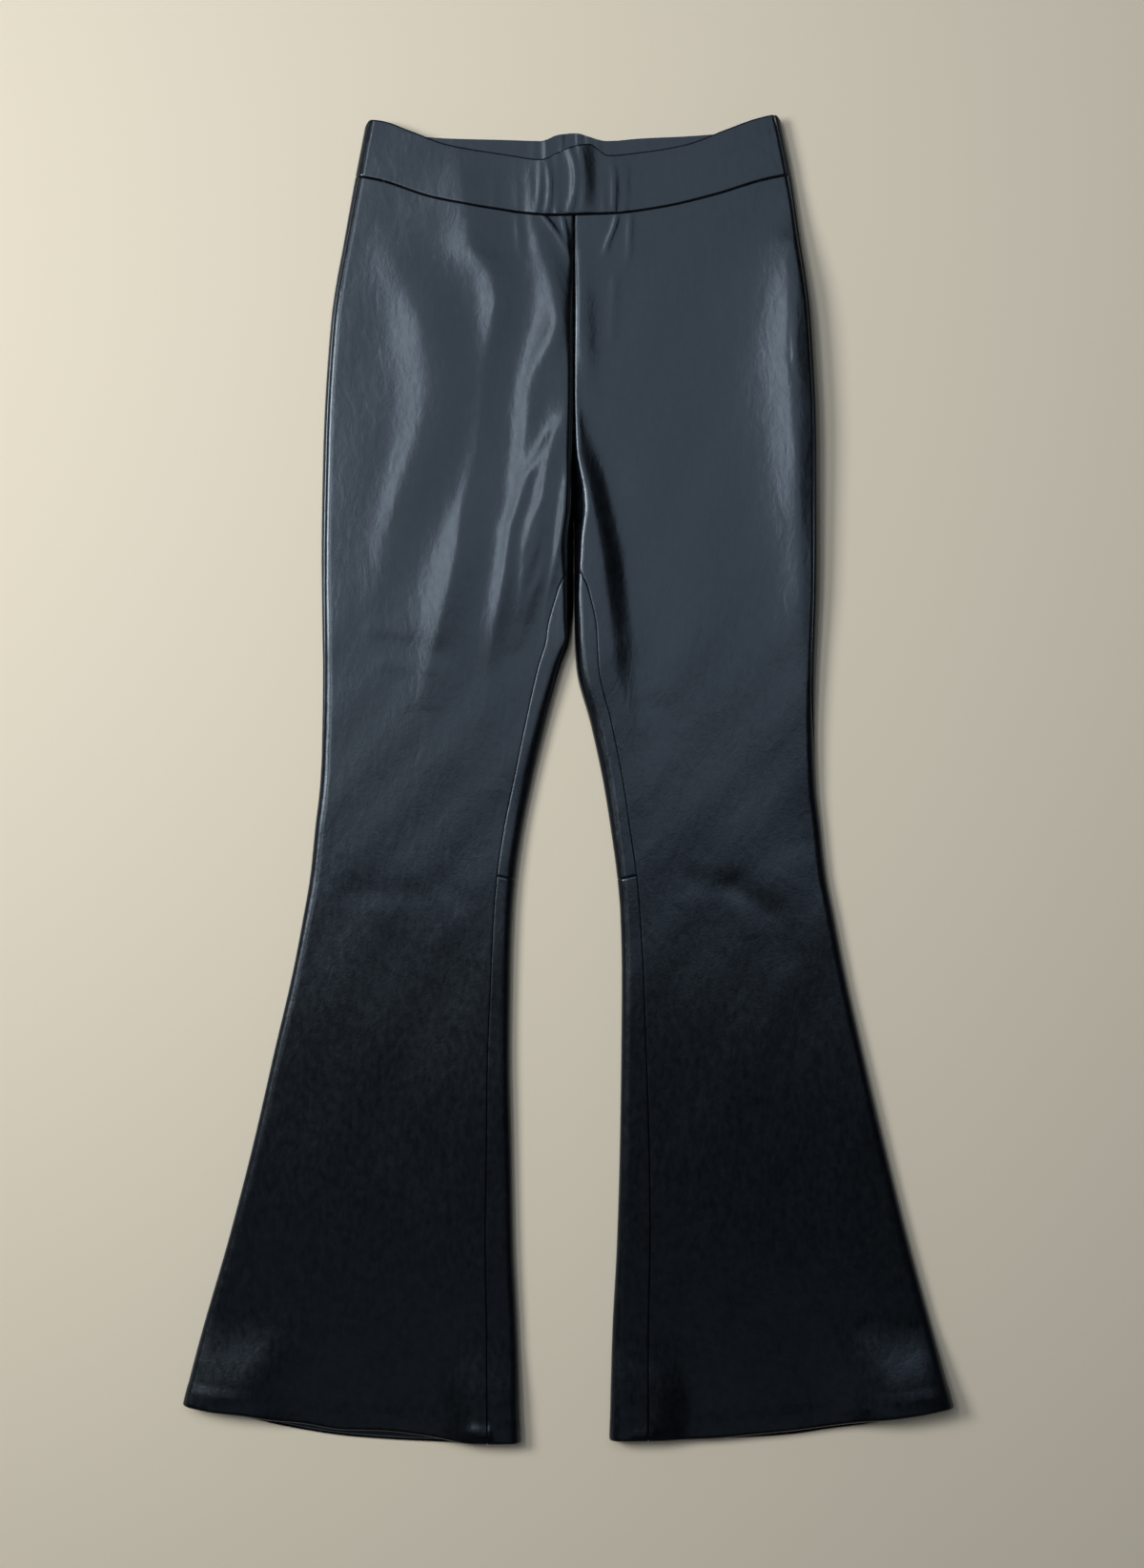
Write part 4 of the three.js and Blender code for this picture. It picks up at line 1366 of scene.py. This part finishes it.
@dataclass(frozen=True)
class SoftLight:
    """Rectangular soft light, with its places and size in metres, its power in watts and its beam in degrees."""

    name: str
    place: tuple[float, float, float]
    target: tuple[float, float, float]
    size: tuple[float, float]
    power: float
    colour: tuple[float, float, float]
    spread: float = 180.0

    def build(self) -> None:
        """Adds the light, turned to its target."""
        light = bpy.data.lights.new(self.name, "AREA")
        light.shape = "RECTANGLE"
        light.size, light.size_y = self.size
        light.energy = self.power
        light.color = self.colour
        light.spread = math.radians(self.spread)
        holder = bpy.data.objects.new(self.name, light)
        place = Vector(self.place)
        turn = (Vector(self.target) - place).to_track_quat("-Z", "Y")
        holder.matrix_world = Matrix.Translation(place) @ turn.to_matrix().to_4x4()
        bpy.context.scene.collection.objects.link(holder)


LIGHTS = (
    SoftLight("overhead", (0.14, 0.86, 2.4), (0.14, 0.86, 0.0), (1.3, 2.0), 13.2, (0.81, 0.885, 1.0)),
    SoftLight("bright_panel", (-0.90, 0.88, 2.4), (-0.90, 0.88, 0.0), (0.52, 2.0), 22.4, (0.94, 0.96, 1.0)),
    SoftLight("low_panel", (-0.05, -1.16, 2.4), (-0.05, -1.16, 0.0), (1.5, 0.4), 0.5, (0.86, 0.92, 1.0)),
    SoftLight("lamp", (-1.6, 0.5, 1.6), (-0.1, 0.2, 0.0), (0.8, 0.8), 21.0, (1.0, 0.995, 0.97), 130.0),
)


@dataclass
class Studio:
    """Floor, lights and camera."""

    layout: Layout
    camera_height: float = 2.0
    photo_centre_line: float = 602.0
    photo_waist: float = 127.0
    horizon_glow: float = 0.42
    ceiling_glow: float = 0.03
    horizon_reach: float = 0.55

    def build_floor(self) -> None:
        """Lays the pale floor under the garment."""
        plane = bmesh.new()
        bmesh.ops.create_grid(plane, x_segments=1, y_segments=1, size=4.0)
        mesh = bpy.data.meshes.new("floor")
        plane.to_mesh(mesh)
        plane.free()
        mesh.materials.append(FloorFinish().build())
        floor = bpy.data.objects.new("floor", mesh)
        bpy.context.scene.collection.objects.link(floor)

    def build_camera(self) -> None:
        """Puts the camera straight above, framed as in the photograph."""
        camera = bpy.data.cameras.new("camera")
        camera.sensor_fit = "VERTICAL"
        height = PHOTO_HEIGHT * MM_PER_PIXEL * MM
        camera.angle_y = 2 * math.atan(height / 2 / self.camera_height)
        holder = bpy.data.objects.new("camera", camera)
        right = (PHOTO_WIDTH / 2 - self.photo_centre_line) * MM_PER_PIXEL * MM
        down = (PHOTO_HEIGHT / 2 - self.photo_waist) * MM_PER_PIXEL * MM
        holder.location = (
            self.layout.centre_x + right,
            self.layout.waist_y - down,
            self.camera_height,
        )
        bpy.context.scene.collection.objects.link(holder)
        bpy.context.scene.camera = holder

    def build_lights(self) -> None:
        """Adds the soft lights and the surroundings."""
        for light in LIGHTS:
            light.build()
        self.build_surroundings()
        bpy.context.scene.view_settings.view_transform = "Standard"

    def build_surroundings(self) -> None:
        """Surrounds the garment with a pale horizon that fades to a dim ceiling."""
        world = bpy.data.worlds.new("surroundings")
        world.use_nodes = True
        nodes, links = world.node_tree.nodes, world.node_tree.links
        background = nodes["Background"]
        background.inputs["Color"].default_value = (0.95, 0.97, 1.0, 1.0)
        direction = nodes.new("ShaderNodeTexCoord")
        parts = nodes.new("ShaderNodeSeparateXYZ")
        fade = nodes.new("ShaderNodeMapRange")
        fade.interpolation_type = "SMOOTHSTEP"
        fade.inputs["From Max"].default_value = self.horizon_reach
        fade.inputs["To Min"].default_value = self.horizon_glow
        fade.inputs["To Max"].default_value = self.ceiling_glow
        links.new(direction.outputs["Generated"], parts.inputs["Vector"])
        links.new(parts.outputs["Z"], fade.inputs["Value"])
        links.new(fade.outputs["Result"], background.inputs["Strength"])
        bpy.context.scene.world = world


def front_rows() -> Array:
    """Shares of a front's length, in shorter steps over the hips and thighs than below them."""
    fine = clustered(246, 0.12, 1.0)
    coarse = clustered(108, 0.45, 0.12)
    return np.concatenate([fine * FINE_SHARE, FINE_SHARE + coarse[1:] * (1 - FINE_SHARE)])


def leg_pieces(form: LegForm) -> list[LegPiece]:
    """The front, the back thigh and the back lower leg of one leg."""
    word = form.side.word
    front_columns = clustered(120, 0.1, 0.12)
    over = clustered(BACK_COLUMNS, 0.2, 1.0) * WRAP_SHARE
    under = WRAP_SHARE + (1 - 2 * WRAP_SHARE) * np.linspace(0, 1, BACK_COLUMNS)
    outer = 1 - WRAP_SHARE + WRAP_SHARE * clustered(20, 1.0, 0.3)
    back_columns = np.concatenate([over, under[1:], outer[1:]])
    back_upper = f"back_upper_{word}_leather"
    back_lower = f"back_lower_{word}_leather"
    return [
        LegPiece(form, Panel.FRONT, f"front_{word}_leather", WAIST_DROP, HEM_DROP, front_columns, front_rows(),
                 (0.31, 1.02), 0.188, (back_upper, back_lower)),
        LegPiece(form, Panel.BACK, back_upper, WAIST_DROP, KNEE_DROP, back_columns, clustered(190, 0.12, 0.12),
                 (0.24, 0.56), 0.112),
        LegPiece(form, Panel.BACK, back_lower, KNEE_DROP, HEM_DROP, back_columns, clustered(150, 0.12, 0.12),
                 (0.31, 0.46), 0.11),
    ]


def main() -> None:
    logging.basicConfig(level=logging.INFO, format="%(name)s: %(message)s")
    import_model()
    layout = Layout.from_frame()
    leather = LeatherFinish().build()
    thread = ThreadFinish().build()
    right = LegForm(Side.RIGHT)
    left = LegForm(Side.LEFT)
    band = BandForm(right, left)
    for form in (right, left):
        for piece in leg_pieces(form):
            piece.build(layout, leather, thread)
    band_columns = clustered(240, 0.25, 0.25)
    BandPiece(band, Panel.FRONT, "waistband_front_leather", band_columns, 26, (0.36, 0.06), 0.0165,
              ("waistband_back_leather",)).build(layout, leather)
    BandPiece(band, Panel.BACK, "waistband_back_leather", band_columns, 26, (0.37, 0.055), 0.0165).build(
        layout, leather)
    studio = Studio(layout)
    studio.build_floor()
    studio.build_camera()
    studio.build_lights()


if __name__ == "__main__":
    main()
